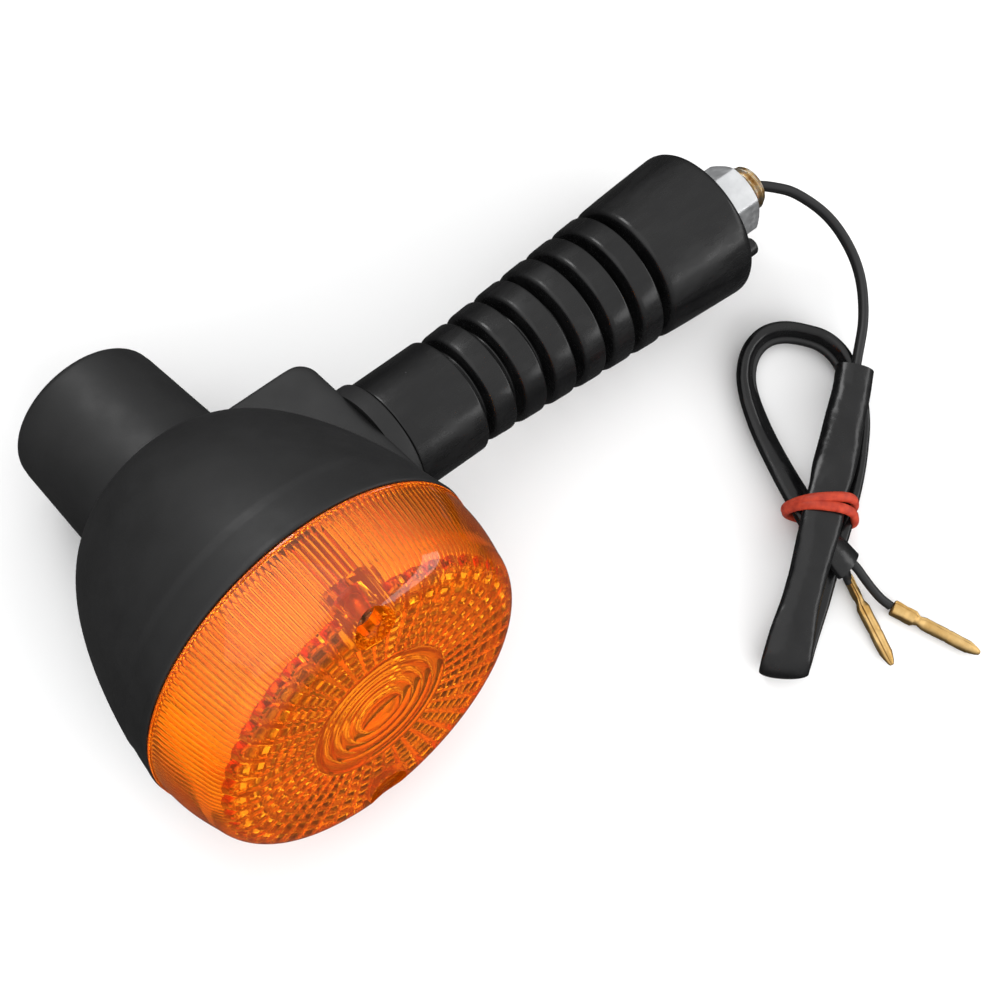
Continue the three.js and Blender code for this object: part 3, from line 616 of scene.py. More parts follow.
SLEEVE_LINE = eased(smooth_route(SLEEVE_ROUTE, 8), 4)
_, SLEEVE_SIDES, SLEEVE_NORMALS = carried_frames(SLEEVE_LINE, np.array([0.6, -0.8, 0.0]))

# Share of the sleeve's length, width, thickness, twist in degrees and dent between its two leads.
SLEEVE_SHAPE = np.array([
    (0.00, 8.0, 5.3, 0, 0.00), (0.02, 8.0, 5.2, 0, 0.00), (0.05, 8.2, 4.8, 4, 0.00),
    (0.085, 8.7, 4.4, 6, 0.00), (0.115, 8.9, 3.8, 6, 0.05), (0.135, 8.0, 3.0, 0, 0.10),
    (0.16, 8.7, 3.4, -2, 0.00), (0.19, 8.2, 4.0, 0, 0.00), (0.22, 7.7, 4.2, 0, 0.02),
    (0.25, 8.0, 3.8, 0, 0.02), (0.275, 9.2, 3.2, 0, 0.00), (0.305, 10.0, 2.6, 0, 0.00),
    (0.34, 9.6, 2.6, 0, 0.00), (0.37, 8.2, 3.2, 0, 0.05), (0.42, 6.6, 3.6, 0, 0.10),
    (0.46, 6.2, 3.6, -6, 0.10), (0.52, 6.2, 3.4, -30, 0.20), (0.60, 6.3, 3.2, -52, 0.26),
    (0.70, 6.3, 3.2, -52, 0.30), (0.77, 6.1, 3.4, -30, 0.30), (0.84, 5.9, 3.5, -8, 0.22),
    (0.88, 6.0, 3.4, 0, 0.08), (0.93, 7.0, 3.6, 0, 0.0), (0.97, 8.2, 4.0, 0, 0.0), (1.00, 8.6, 4.3, 0, 0.0),
])
SLEEVE_WALL = 0.45
# Below 1, so that the sleeve's section is slightly fuller than an ellipse.
SECTION_POWER = 0.96


def sleeve_section(width, thickness, twist, dent, count=40):
    """Points round the sleeve as (across, up) pairs in metres."""
    turn = angles(count)
    u = np.sign(np.cos(turn)) * np.abs(np.cos(turn)) ** SECTION_POWER * width / 2
    v = np.sign(np.sin(turn)) * np.abs(np.sin(turn)) ** SECTION_POWER * thickness / 2
    v = v * (1 - dent * np.cos(np.pi * u / width) ** 4)
    cos, sin = math.cos(math.radians(twist)), math.sin(math.radians(twist))
    return np.stack([u * cos - v * sin, u * sin + v * cos], axis=1) * MM


def sleeve_shapes():
    """The sleeve's width, thickness, twist and dent at each point of its line."""
    share = travelled(SLEEVE_LINE) / travelled(SLEEVE_LINE)[-1]
    columns = [np.interp(share, SLEEVE_SHAPE[:, 0], SLEEVE_SHAPE[:, k]) for k in range(1, 5)]
    return eased(np.stack(columns, axis=1), 6)


def lifted_line(shapes):
    """The sleeve's centreline, raised where its section would reach through the surface below."""
    lifts = []
    for centre, side, normal, shape in zip(SLEEVE_LINE, SLEEVE_SIDES, SLEEVE_NORMALS, shapes):
        section = sleeve_section(*shape)
        lowest = (centre + section[:, :1] * side + section[:, 1:] * normal)[:, 2].min()
        lifts.append(max(0.0, 0.08 * MM - lowest))
    lifts = np.array(lifts)
    wide = np.array([lifts[max(0, i - 5):i + 6].max() for i in range(len(lifts))])
    wide = eased(wide, 12)
    return SLEEVE_LINE + np.maximum(wide, lifts)[:, None] * np.array([0, 0, 1.0])


SLEEVE_SHAPES = sleeve_shapes()
SLEEVE_LINE = lifted_line(SLEEVE_SHAPES)


def lead_sleeve():
    """The flattened sleeve over the leads, with its wall and open ends."""
    outer, inner = [], []
    for centre, side, normal, shape in zip(SLEEVE_LINE, SLEEVE_SIDES, SLEEVE_NORMALS, SLEEVE_SHAPES):
        width, thickness, twist, dent = shape
        bore = (width - 2 * SLEEVE_WALL, thickness - 2 * SLEEVE_WALL, twist, dent)
        for rings, section in ((outer, sleeve_section(*shape)), (inner, sleeve_section(*bore))):
            rings.append(centre + section[:, :1] * side + section[:, 1:] * normal)
    grid = np.array(outer + inner[::-1])
    rows, columns, _ = grid.shape
    piece = new_mesh("lead_sleeve_vinyl", grid.reshape(-1, 3), grid_faces(rows, columns, True))
    finished(piece, "mount", FINISH["sleeve_vinyl"], ["lead_sleeve"], sharp=60)
    return piece


def lead(name, side_of_pair, tail, replaced):
    """One lead, from inside the stud, through the sleeve, to its terminal."""
    pair = np.array(PAIR_ROUTE[:-1]) + PAIR_SHIFT * side_of_pair
    mouth = SLEEVE_LINE[4:12:4] + PAIR_SHIFT * side_of_pair * 0.96
    inside = SLEEVE_LINE[32:-14:8] + SLEEVE_SIDES[32:-14:8] * 1.2 * MM * side_of_pair
    line = smooth_route([*pair, *mouth, *inside, *tail], 8)
    still = len(tail) * 8
    line[:-still] = eased(line[:-still], 30)
    data = bpy.data.curves.new(name, "CURVE")
    data.dimensions = "3D"
    data.bevel_depth = LEAD_RADIUS
    data.bevel_resolution = 5
    data.use_fill_caps = True
    spline = data.splines.new("POLY")
    spline.points.add(len(line) - 1)
    for point, place in zip(spline.points, line):
        point.co = (*place, 1)
    spline.use_smooth = True
    piece = bpy.data.objects.new(name, data)
    bpy.context.scene.collection.objects.link(piece)
    data.materials.append(FINISH["lead_vinyl"])
    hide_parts(*replaced)
    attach(piece, "mount")
    return piece


# Along a bullet terminal, in millimetres: distance, radius and how square the section is.
BULLET_LENGTH = 20.0
BULLET_SHAPE = np.array([
    (0.0, 1.45, 0.5), (0.15, 1.6, 0.5), (1.0, 1.62, 0.5), (2.6, 1.5, 0.6), (3.4, 1.62, 0.5), (4.8, 1.6, 0.4),
    (5.4, 1.25, 0.2), (6.0, 1.05, 0.1), (6.6, 1.2, 0.1), (7.2, 1.38, 0.0), (12.0, 1.36, 0.0),
    (12.5, 1.28, 0.0), (13.0, 1.37, 0.0), (17.2, 1.34, 0.0), (18.2, 1.1, 0.0), (19.2, 0.8, 0.0),
    (19.8, 0.55, 0.0), (20.0, 0.35, 0.0),
])


def bullet(name, start, end, replaced, roll, crimp_width=1.0):
    """A terminal rolled from brass strip: crimp barrel, neck, slit body and tapered tip."""
    start, end = np.array(start), np.array(end)
    along = (end - start) / np.linalg.norm(end - start)
    side = np.cross(along, (0, 0, 1))
    side /= np.linalg.norm(side)
    normal = np.cross(side, along)
    turn = angles(48)
    stations = np.unique(np.concatenate([BULLET_SHAPE[:, 0], np.linspace(0, BULLET_LENGTH, 81)]))
    outer, inner = [], []
    for x in stations:
        radius, square = (np.interp(x, BULLET_SHAPE[:, 0], BULLET_SHAPE[:, k]) for k in (1, 2))
        corners = (np.abs(np.cos(turn)) ** 6 + np.abs(np.sin(turn)) ** 6) ** (-1 / 6)
        r = radius * (1 - square + square * corners)
        seam = np.exp(-(np.angle(np.exp(1j * (turn - roll))) / 0.16) ** 2)
        r = r * (1 - 0.22 * seam) * (1 + 0.02 * np.sin(3 * turn + x))
        place = start + along * (x - BULLET_LENGTH / 2) * MM + (end - start) / 2
        narrow = np.interp(x, [5.0, 6.4], [crimp_width, 1.0])
        for rings, radii in ((outer, r), (inner, r - 0.32)):
            u, v = radii * np.cos(turn) * MM * narrow, radii * np.sin(turn) * MM
            rings.append(place + u[:, None] * side + v[:, None] * normal)
    inner = inner[:40]
    grid = np.array(inner[::-1] + outer)
    piece = new_mesh(name, grid.reshape(-1, 3), capped(*grid.shape[:2]))
    return finished(piece, "mount", FINISH["brass"], replaced, sharp=40)


# The band's plane stands across the sleeve's first run.
BAND_AT = np.array([0.0546, -0.0577, 0.0])
BAND_RUN = np.array([0.64, 0.77, 0.0])
BAND_ACROSS = np.array([-0.77, 0.64, 0.0])
BAND_OUTLINE = [
    (-7.0, 2.4), (-7.6, 4.4), (-7.0, 7.2), (-5.3, 10.9), (-3.0, 12.7), (0.0, 13.2), (3.0, 12.8), (5.0, 11.4),
    (6.4, 9.2), (7.0, 7.0), (6.4, 4.6), (3.0, 2.6), (-2.0, 1.3), (-5.4, 1.2),
]


def band_winding(shift, lean, lift, thickness):
    """One turn of the band, a closed tube that leans along the sleeve."""
    outline = np.array(BAND_OUTLINE, float)
    loop = smooth_route([*[(u, v, 0) for u, v in outline], (*outline[0], 0)], 8)[:-1, :2]
    middle = outline.mean(axis=0)
    loop = middle + (loop - middle) * (1 + lift)
    run = shift + lean * (loop[:, 0] / 8.0)
    floor = thickness / 2 + 0.05
    height = np.maximum(loop[:, 1], floor)
    centres = BAND_AT + (loop[:, :1] * BAND_ACROSS + run[:, None] * BAND_RUN) * MM
    centres[:, 2] = height * MM
    ahead = np.roll(centres, -1, axis=0) - np.roll(centres, 1, axis=0)
    ahead /= np.linalg.norm(ahead, axis=1)[:, None]
    side = np.cross(ahead, BAND_RUN)
    side /= np.linalg.norm(side, axis=1)[:, None]
    other = np.cross(ahead, side)
    turn = angles(20)
    section = np.stack([np.cos(turn) * 0.46, np.sin(turn) * 0.56], axis=1) * thickness * MM
    grid = centres[:, None] + section[None, :, :1] * side[:, None] + section[None, :, 1:] * other[:, None]
    rows, columns, _ = grid.shape
    return new_mesh("winding", grid.reshape(-1, 3), grid_faces(rows, columns, True))


def rubber_band():
    windings = [band_winding(-1.1, 0.7, 0.0, 1.9), band_winding(0.7, -0.8, 0.02, 1.9)]
    piece = joined("rubber_band_loops", windings)
    return finished(piece, "mount", FINISH["band_rubber"], ["rubber_band"], sharp=70)


def wiring():
    live_ends = (0.0549, -0.0820, 0.0018), (0.0632, -0.1004, 0.0018)
    bullet_live = bullet("bullet_live_brass", *live_ends, ["bullet_live"], roll=2.2)
    earth_ends = (0.0512, -0.0736, 0.0018), (0.0474, -0.0888, 0.0018)
    bullet_earth = bullet("bullet_earth_brass", *earth_ends, ["bullet_earth"], roll=1.0, crimp_width=0.5)
    live = lead("lead_live_wire", 1, LIVE_TAIL_ROUTE, ["lead_live", "lead_live_tail"])
    earth = lead("lead_earth_wire", -1, EARTH_TAIL_ROUTE, ["lead_earth", "lead_earth_tail"])
    sleeve = lead_sleeve()
    band = rubber_band()


wiring()

# ---- Housing ----

RIM_Y = -26.2
RIM_RADIUS = 36.9
BARREL_START = (17.1, 17.2)
BARREL_END = (15.8, 43.9)
BLOCK_HALF_LENGTH = 18.0
# The stem block's end, half length, half height, corner radius and top edge's softness.
BLOCK_OUTSIDE = (34.5, BLOCK_HALF_LENGTH, 12.0, 4.0, 0.9)
BLOCK_INSIDE = (30, 15.6, 9.6, 2, 0.6)
STEM_CLEAR_RADIUS = 5.2
COLLAR_RADIUS = 13.0
COLLAR_END_X = 38.0
SCREW_OFFSET = 27.5
POST_RADIUS = 3.4
SCREW_HOLE_RADIUS = 1.9


def smooth_max(a, b, softness):
    h = np.clip(0.5 + 0.5 * (a - b) / softness, 0, 1)
    return b + (a - b) * h + softness * h * (1 - h)


def block_reach(y, turn, end_x, half_length, half_height, corner, soft):
    """Distance from the lens axis to the stem block's surface, at each angle."""
    inset = max(0.0, abs(y) - (half_length - corner))
    end = end_x - corner + math.sqrt(max(0.0, corner**2 - inset**2))
    edge = max(0.0, abs(y) - (half_length - soft))
    top = half_height - soft + math.sqrt(max(0.0, soft**2 - edge**2))
    cos = np.clip(np.cos(turn), 0, None)
    flat = ((cos / end) ** 30 + (np.abs(np.sin(turn)) / top) ** 30) ** (-1 / 30)
    return np.where(cos > 0, flat, 0.0)


def shell_row(radius, y, turn, share=1.0, inside=False):
    """One ring of the housing: the bowl or barrel, with as much of the block as share says."""
    plain = np.full_like(turn, radius)
    sizes = BLOCK_INSIDE if inside else BLOCK_OUTSIDE
    if share == 0 or abs(y) > sizes[1] or radius < 1:
        return around("Y", plain, y, turn)
    reach = block_reach(y, turn, *sizes)
    reach = plain + np.clip(reach - plain, 0, None) * share
    return around("Y", smooth_max(plain, reach, 0.9 if share == 1 else 0.02), y, turn)


def housing_outside_rows():
    """Outer profile points (radius, y, share of the block), from the rear face to the rim."""
    rows = [(r, y, 0) for r, y in arc((BARREL_END[0] - 2.2, BARREL_END[1] - 2.2), 2.2, math.pi / 2, 0, 10)]
    rows = [(r, BARREL_END[1], 0) for r in (0.0, 4.0, 8.0, 12.0)] + rows
    slope = (BARREL_START[0] - BARREL_END[0]) / (BARREL_END[1] - BARREL_START[1])
    for y in np.linspace(BARREL_END[1] - 3.4, BLOCK_HALF_LENGTH + 0.3, 14):
        rows.append((BARREL_END[0] + (BARREL_END[1] - y) * slope, y, 0))
    rows.extend((17.06, BLOCK_HALF_LENGTH, share) for share in np.linspace(0, 1, 9))
    rows.extend((17.08, y, 1) for y in (17.9, 17.75, 17.55, 17.3))
    bowl = bezier((17.1, 17.2), (28, 13), (34.6, -8), (RIM_RADIUS, RIM_Y), 70)
    rows.extend((r, y, 1) for r, y in bowl[1:-2])
    rows.extend((r, y, 0) for r, y in arc((RIM_RADIUS - 0.45, RIM_Y + 0.45), 0.45, 0, -math.pi / 2, 4))
    return rows


def housing_inside_rows():
    rows = [(35.3, RIM_Y, 0), (35.3, RIM_Y + 1.8, 0), (34.0, RIM_Y + 1.8, 0)]
    rows.extend((r, y, 1) for r, y in bezier((34, RIM_Y + 1.8), (32.2, -9), (25.6, 11), (14.7, 15.2), 40)[1:])
    rows.extend([(14.5, 17.0, 0), (13.4, 41.5, 0), (0.0, 41.5, 0)])
    return rows


def screw_rod(name, radius, low, high, z, segments=40):
    return turned(name, "Y", [(0, low), (radius, low), (radius, high), (0, high)], segments, shift=(0, 0, z))


def housing():
    """The bowl, barrel, stem block and collar in one, with posts for the lens screws."""
    near = [np.linspace(-48, -17, 63), np.linspace(-16, 16, 17), np.linspace(17, 48, 63)]
    far = np.linspace(48, 312, 120)[1:-1]
    turn = np.radians(np.concatenate([*near, far]))
    rows = [shell_row(r, y, turn, share) for r, y, share in housing_outside_rows()]
    rows += [shell_row(r, y, turn, share, inside=True) for r, y, share in housing_inside_rows()]
    body = lamp_mesh("housing_shell", np.array(rows))
    collar = [
        (0, 34.2, 0), (COLLAR_RADIUS, 34.2, 0), (COLLAR_RADIUS, COLLAR_END_X, 0.5), (0, COLLAR_END_X, 0),
    ]
    bore = [(0, 20), (STEM_CLEAR_RADIUS, 20), (STEM_CLEAR_RADIUS, 40), (0, 40)]
    combine(body, turned("collar", "X", rounded(collar), 128), "UNION")
    combine(body, turned("stem_bore", "X", bore, 64), "DIFFERENCE")
    for z in (SCREW_OFFSET, -SCREW_OFFSET):
        combine(body, screw_rod("post", POST_RADIUS, -25.9, -6.5, z), "UNION")
        combine(body, screw_rod("post_bore", SCREW_HOLE_RADIUS, -27.5, -7.5, z), "DIFFERENCE")
    finished(body, "head", FINISH["housing_plastic"], ["housing"], sharp=34)


housing()

# ---- Lens ----

LENS_BASE_Y = RIM_Y - 0.3
LENS_FRONT_Y = -45.5
LENS_RADIUS = 34.6
LENS_EDGE = 7.7
LENS_THICKNESS = 2.6
LENS_BASE_RADIUS = 36.4
# The angle at which the front's round edge meets the side wall, and how far that wall bulges.
LENS_BEND = -0.158
LENS_BULGE = 0.5
FLUTE_DEPTH = 0.55
CUP_RADIUS = 5.6
POCKET_RADIUS = 4.3
POCKET_FLOOR_Y = -38.5
SCREW_UNDER_Y = -38.8
SPOKES = 44
FLUTES = 4 * SPOKES
RINGS = 7
FIELD_INNER = 15.0
FIELD_OUTER = 31.2
FIELD_PITCH = (FIELD_OUTER - FIELD_INNER) / RINGS
BULLSEYE_RINGS = (14.8, 12.2, 9.8, 7.6, 5.2)
LENS_INSIDE_Y = LENS_FRONT_Y + LENS_THICKNESS


def lens_outside_rows():
    flat = LENS_RADIUS - LENS_EDGE
    rows = [(r, LENS_FRONT_Y - 0.35 * (1 - (r / flat) ** 2)) for r in np.linspace(0, flat, 24)]
    rows.extend(arc((flat, LENS_FRONT_Y + LENS_EDGE), LENS_EDGE, -math.pi / 2, LENS_BEND, 20)[1:])
    start, end = np.array(rows[-1]), np.array([LENS_BASE_RADIUS, LENS_BASE_Y - 0.65])
    for t in np.linspace(0.1, 1, 10):
        r, y = start + (end - start) * t
        rows.append((r + LENS_BULGE * math.sin(math.pi * t), y))
    flange = [(36.6, 0.6), (36.7, 0.45), (36.7, 0.15), (36.55, 0.0)]
    rows.extend((r, LENS_BASE_Y - ahead) for r, ahead in flange)
    return rows


def lens_outer_grid(turn):
    return [around("Y", np.full_like(turn, r), y, turn) for r, y in lens_outside_rows()]


def pattern_share(turn, count):
    return (turn * count / (2 * np.pi)) % 1.0


def flute_height(turn):
    """Height of the side wall's inner flutes, 0 in the valleys and 1 on the crests."""
    return 1 - (2 * pattern_share(turn, FLUTES) - 1) ** 2


def field_edge(turn):
    """Radius at which the prism field ends in one scallop for each spoke."""
    return FIELD_OUTER - 0.75 + 1.0 * np.abs(np.sin(np.pi * pattern_share(turn, SPOKES))) ** 0.7


def pad_share(turn):
    """1 on the prisms and 0 on the plain strips between them."""
    return np.clip((0.33 - np.abs(pattern_share(turn, SPOKES) - 0.5)) / 0.06, 0, 1)


def lens_inner_grid(turn):
    """The inside of the lens: fluted wall, scalloped step, prism cells and bullseye rings."""
    flute, edge, pad = flute_height(turn), field_edge(turn), pad_share(turn)
    wall = LENS_BASE_RADIUS - LENS_THICKNESS
    centre = (LENS_RADIUS - LENS_EDGE, LENS_FRONT_Y + LENS_EDGE)
    radius = LENS_EDGE - LENS_THICKNESS
    front = (centre[0] + radius * math.cos(LENS_BEND), centre[1] + radius * math.sin(LENS_BEND))
    rows = [around("Y", np.full_like(turn, wall + 1.4), LENS_BASE_Y, turn)]
    rows.append(around("Y", np.full_like(turn, wall), LENS_BASE_Y, turn))
    for t in np.linspace(0, 1, 14):
        y = LENS_BASE_Y - 0.9 + (front[1] - LENS_BASE_Y + 0.9) * t
        rows.append(around("Y", wall + (front[0] - wall) * t - FLUTE_DEPTH * flute, y, turn))
    for bend in np.linspace(LENS_BEND, -0.62, 8)[1:]:
        reach = radius - FLUTE_DEPTH * flute
        rows.append(around("Y", centre[0] + reach * math.cos(bend), centre[1] + reach * math.sin(bend), turn))
    rows.append(around("Y", edge + 0.3, LENS_INSIDE_Y + 1.9, turn))
    rows.append(around("Y", edge, LENS_INSIDE_Y + 0.5, turn))
    for ring in range(RINGS):
        for share in np.linspace(0, 1, 9):
            r = FIELD_OUTER - 0.4 - (ring + share) * (FIELD_PITCH - 0.055)
            r = r + (edge - FIELD_OUTER) * max(0.0, 1 - ring - share)
            wedge = share ** 1.2 if share < 0.9 else (1 - share) * 8.8
            rows.append(around("Y", r, LENS_INSIDE_Y + 0.2 + 1.15 * wedge * pad, turn))
    for outer, inner in zip(BULLSEYE_RINGS, BULLSEYE_RINGS[1:]):
        for share in (0.0, 0.06, 0.2, 0.4, 0.6, 0.8, 0.94):
            r = outer + (inner - outer) * share
            height = 0.95 * math.sqrt(max(0.0, 1 - (1 - share) ** 2)) if share else 0.0
            rows.append(around("Y", np.full_like(turn, r), LENS_INSIDE_Y + 0.1 + height, turn))
    for share in np.linspace(0, 1, 9):
        r = BULLSEYE_RINGS[-1] * math.cos(share * math.pi / 2)
        dome = LENS_INSIDE_Y + 0.1 + 1.5 * math.sin(share * math.pi / 2)
        rows.append(around("Y", np.full_like(turn, r), dome, turn))
    return rows


# Colours of the light that the lens lets through, by zone, painted on it: its own amber outside and orange strips,
# painted yellow glints, painted shade on the prisms, in the flute valleys, at the rings' feet and round one side
# of the centre, and a painted deeper red line along the prism field's edge.
TINT_OUTSIDE = (1.0, 0.33, 0.010)
TINT_STRIP = (1.0, 0.34, 0.20)
# Painted glint: yellow, on the flute crests, the prisms and the bullseye.
TINT_PAINTED_YELLOW_GLINT = (1.0, 1.0, 0.30)
# Painted shade: near black, on part of most prism cells and in some valleys near the rim.
TINT_PAINTED_SHADE = (0.004, 0.003, 0.002)
# Painted shade: a deeper red line along the prism field's scalloped edge.
TINT_PAINTED_RED_EDGE = (0.80, 0.01, 0.01)
# Painted shade in the flute valleys and at the foot of each bullseye ring.
TINT_PAINTED_VALLEY_SHADE = (0.30, 0.05, 0.03)
# Painted shade round one side of the lens's centre.
TINT_PAINTED_EYE_SHADE = (0.2, 0.08, 0.02)


def blended(colours, share, colour):
    share = np.clip(share, 0, 1)[:, None]
    return colours * (1 - share) + np.array(colour) * share


def wall_tints(y, turn, chance):
    """Tints of the fluted side wall: crests painted between yellow glint and orange, painted shade in the valleys,
    and painted dark shade in some valleys near the rim.
    """
    flute_chance = chance.random((FLUTES, 3))
    flute = flute_height(turn)
    number = np.minimum((turn * FLUTES / (2 * np.pi)).astype(int), FLUTES - 1)
    # Painted glint: each flute mixes yellow and orange by its own random share.
    tints = blended(np.tile(TINT_PAINTED_YELLOW_GLINT, (len(y), 1)), 0.25 + 0.5 * flute_chance[number, 0], TINT_STRIP)
    # Painted shade deepens towards each valley.
    tints = blended(tints, (1 - flute) ** 1.5 * 0.9, TINT_PAINTED_VALLEY_SHADE)
    # Painted dark shade in about two valleys of three, up from the rim to a random height.
    near_rim = 1.2 + 5.5 * flute_chance[number, 1] ** 3
    dark = np.clip((near_rim - (LENS_BASE_Y - y)) / 0.8, 0, 1)
    dark = dark * (flute_chance[number, 2] > 0.35) * (1 - flute)
    return blended(tints, dark, TINT_PAINTED_SHADE)


def cell_tints(r, turn, cell_chance):
    """Tints of the prism field: prisms painted with yellow glints, with a patch of painted shade on most cells,
    between orange strips.
    """
    ring = (FIELD_OUTER - 0.4 - r) / (FIELD_PITCH - 0.055)
    share = ring % 1.0
    spoke = np.minimum((turn * SPOKES / (2 * np.pi)).astype(int), SPOKES - 1)
    luck = cell_chance[spoke, np.clip(ring, 0, RINGS).astype(int)]
    pad = pad_share(turn)
    # Painted glint: each prism is yellow by a random share.
    cells = blended(np.tile(TINT_STRIP, (len(r), 1)), pad * (0.55 + 0.45 * luck), TINT_PAINTED_YELLOW_GLINT)
    # Painted shade over the inner part of each cell, its edge slanting across the spoke, on most cells.
    lean = pattern_share(turn, SPOKES) - 0.5
    shade = np.clip((share - 0.36 + 0.6 * lean) / 0.10, 0, 1) * np.clip((0.97 - share) / 0.06, 0, 1)
    return blended(cells, pad * shade * (luck > 0.15), TINT_PAINTED_SHADE)


def bullseye_tints(r, turn):
    """Tints of the bullseye: painted yellow glints that swell and fade round it, painted shade at each ring's
    foot, and painted shade round one side of the centre.
    """
    rings = blended(np.tile(TINT_STRIP, (len(r), 1)), 0.25 + 0.25 * np.sin(2 * turn + r), TINT_PAINTED_YELLOW_GLINT)
    for radius in BULLSEYE_RINGS:
        rings = blended(rings, 1.0 - np.abs(r - radius) / 0.5, TINT_PAINTED_VALLEY_SHADE)
    return blended(rings, np.clip(1 - np.abs(r - 3.6) / 1.0, 0, 1) * (np.cos(turn - 0.3) > 0.2), TINT_PAINTED_EYE_SHADE)


def lens_tints(points):
    """The tint at each point of the lens, from its place in the pattern: the amber outside, painted glints and
    painted shade inside.
    """
    x, y, z = points.T
    r, turn = np.hypot(x, z), np.arctan2(z, x) % (2 * np.pi)
    chance = np.random.default_rng(5)
    cell_chance = chance.random((SPOKES, RINGS + 1))
    tints = wall_tints(y, turn, chance)
    field = (y < LENS_INSIDE_Y + 2.4) & (r < field_edge(turn) + 0.15)
    tints[field] = cell_tints(r, turn, cell_chance)[field]
    rim = (np.abs(r - field_edge(turn) - 0.1) < 0.42) & (y < LENS_INSIDE_Y + 2.6)
    # Painted shade: a deeper red line along the prism field's edge.
    tints[rim] = TINT_PAINTED_RED_EDGE
    eye = (r < FIELD_INNER) & (y < LENS_INSIDE_Y + 2.4)
    tints[eye] = bullseye_tints(r, turn)[eye]
    centre_r, centre_y = LENS_RADIUS - LENS_EDGE, LENS_FRONT_Y + LENS_EDGE
    wall = LENS_RADIUS - 1.3 + (LENS_BASE_RADIUS - LENS_RADIUS) * (y - LENS_FRONT_Y - LENS_EDGE) / 11
    front_or_wall = np.where(y < centre_y, y < LENS_FRONT_Y + 1.2, r > wall)
    edge = np.hypot(r - centre_r, y - centre_y) > 6.4
    outside = np.where((r > centre_r) & (y < centre_y), edge, front_or_wall)
    from_screw = np.hypot(x, np.abs(z) - SCREW_OFFSET)
    pocket = (from_screw < POCKET_RADIUS + 0.2) & (y < POCKET_FLOOR_Y + 0.2)
    tints[outside | pocket] = TINT_OUTSIDE
    return tints


def tinted(piece):
    """Stores the lens's tints, painted glints and shade among them, on its mesh."""
    tints = lens_tints(lamp_points(piece.data))
    place = piece.data.attributes.new("tint", "FLOAT_COLOR", "POINT")
    colours = np.column_stack([tints, np.ones(len(tints))])
    place.data.foreach_set("color", colours.astype(np.float32).ravel())
    return piece


def lens():
    """The lens with its two screw pockets and the legs that stand on the housing's posts."""
    turn = angles(FLUTES * 4)
    outside = lens_outer_grid(turn)
    body = lamp_mesh("lens_amber", np.array(outside + lens_inner_grid(turn)))
    for z in (SCREW_OFFSET, -SCREW_OFFSET):
        hull = lamp_mesh("hull", np.array(outside + [around("Y", np.zeros_like(turn), LENS_BASE_Y, turn)]))
        cup = combine(screw_rod("cup", CUP_RADIUS, -46.5, -36.6, z, 64), hull, "INTERSECT")
        combine(body, cup, "UNION")
        combine(body, screw_rod("leg", POST_RADIUS, -38.0, RIM_Y, z), "UNION")
        combine(body, screw_rod("pocket", POCKET_RADIUS, -47.5, POCKET_FLOOR_Y, z, 64), "DIFFERENCE")
        combine(body, screw_rod("bore", SCREW_HOLE_RADIUS, -40.0, -25.0, z), "DIFFERENCE")
    finished(tinted(body), "lens", FINISH["amber_plastic"], ["lens"], sharp=30)


def lens_screw(place, z):
    """A pan head screw with a cross recess, looking out of its pocket."""
    turn = angles(96)
    under = SCREW_UNDER_Y
    rows = [around("Y", np.zeros_like(turn), under - 1.9, turn)]
    for r in np.linspace(0.12, 2.0, 22):
        x, y = r * np.cos(turn), r * np.sin(turn)
        across = np.maximum(np.abs(x) - 1.7, np.abs(y) - 0.34)
        along = np.maximum(np.abs(y) - 1.7, np.abs(x) - 0.34)
        depth = np.clip(-np.minimum(across, along) / 0.16, 0, 1) * 1.5
        rows.append(around("Y", np.full_like(turn, r), under - 3.5 + 0.06 * r * r + depth, turn))
    head = [(2.6, under - 2.95), (3.1, under - 2.4), (3.4, under - 1.5), (3.42, under - 0.3), (3.3, under)]
    shank = [(1.6, under), (1.6, -12.0), (0.5, -8.4), (0.0, -8.0)]
    rows.extend(around("Y", np.full_like(turn, r), y, turn) for r, y in head + shank)
    node = "lens_screw_" + place
    piece = lamp_mesh(node + "_pan_head", np.array(rows) + np.array([0, 0, z]))
    finished(piece, "screw_" + place, FINISH["yellow_zinc_steel"], [node], sharp=30)


lens()
lens_screw("top", SCREW_OFFSET)
lens_screw("bottom", -SCREW_OFFSET)

# ---- Reflector and bulb ----


def reflector():
    """The dish behind the bulb, with room for the lens screws' posts."""
    dish = [(r, -5.0 - r * r / 52) for r in np.linspace(11.5, 31, 40)]
    back = [(r, -4.1 - r * r / 52) for r in np.linspace(31, 12, 20)]
    neck, rim = [(8.8, 1.8), (8.8, -2.5), (9.6, -4.6)], [(33.6, -24.1), (33.6, -23.2)]
    profile = [*neck, *dish, *rim, *back, (9.7, -2.3), (9.7, 1.8)]
    body = turned("reflector_dish", "Y", profile, 160, closed=True)
    for z in (SCREW_OFFSET, -SCREW_OFFSET):
        combine(body, screw_rod("post_room", 3.9, -27.0, 0.0, z), "DIFFERENCE")
    finished(body, "head", FINISH["reflector_chrome"], ["reflector"], sharp=40)


def bulb_glass():
    """The envelope, a ball on a short neck."""
    ball = (0, -18)
    outside = arc(ball, 12.5, -math.pi / 2, 0.55, 30) + [(8.4, -4.6), (7.2, -1.6), (6.9, 0.6), (6.9, 2.6)]
    inside = [(6.2, 2.6), (6.2, 0.6), (6.5, -1.8), (7.7, -5.0)] + arc(ball, 11.8, 0.55, -math.pi / 2, 30)
    glass = turned("bulb_envelope", "Y", outside + inside, 96)
    finished(glass, "bulb", FINISH["bulb_clear_glass"], ["bulb_glass"], sharp=60)


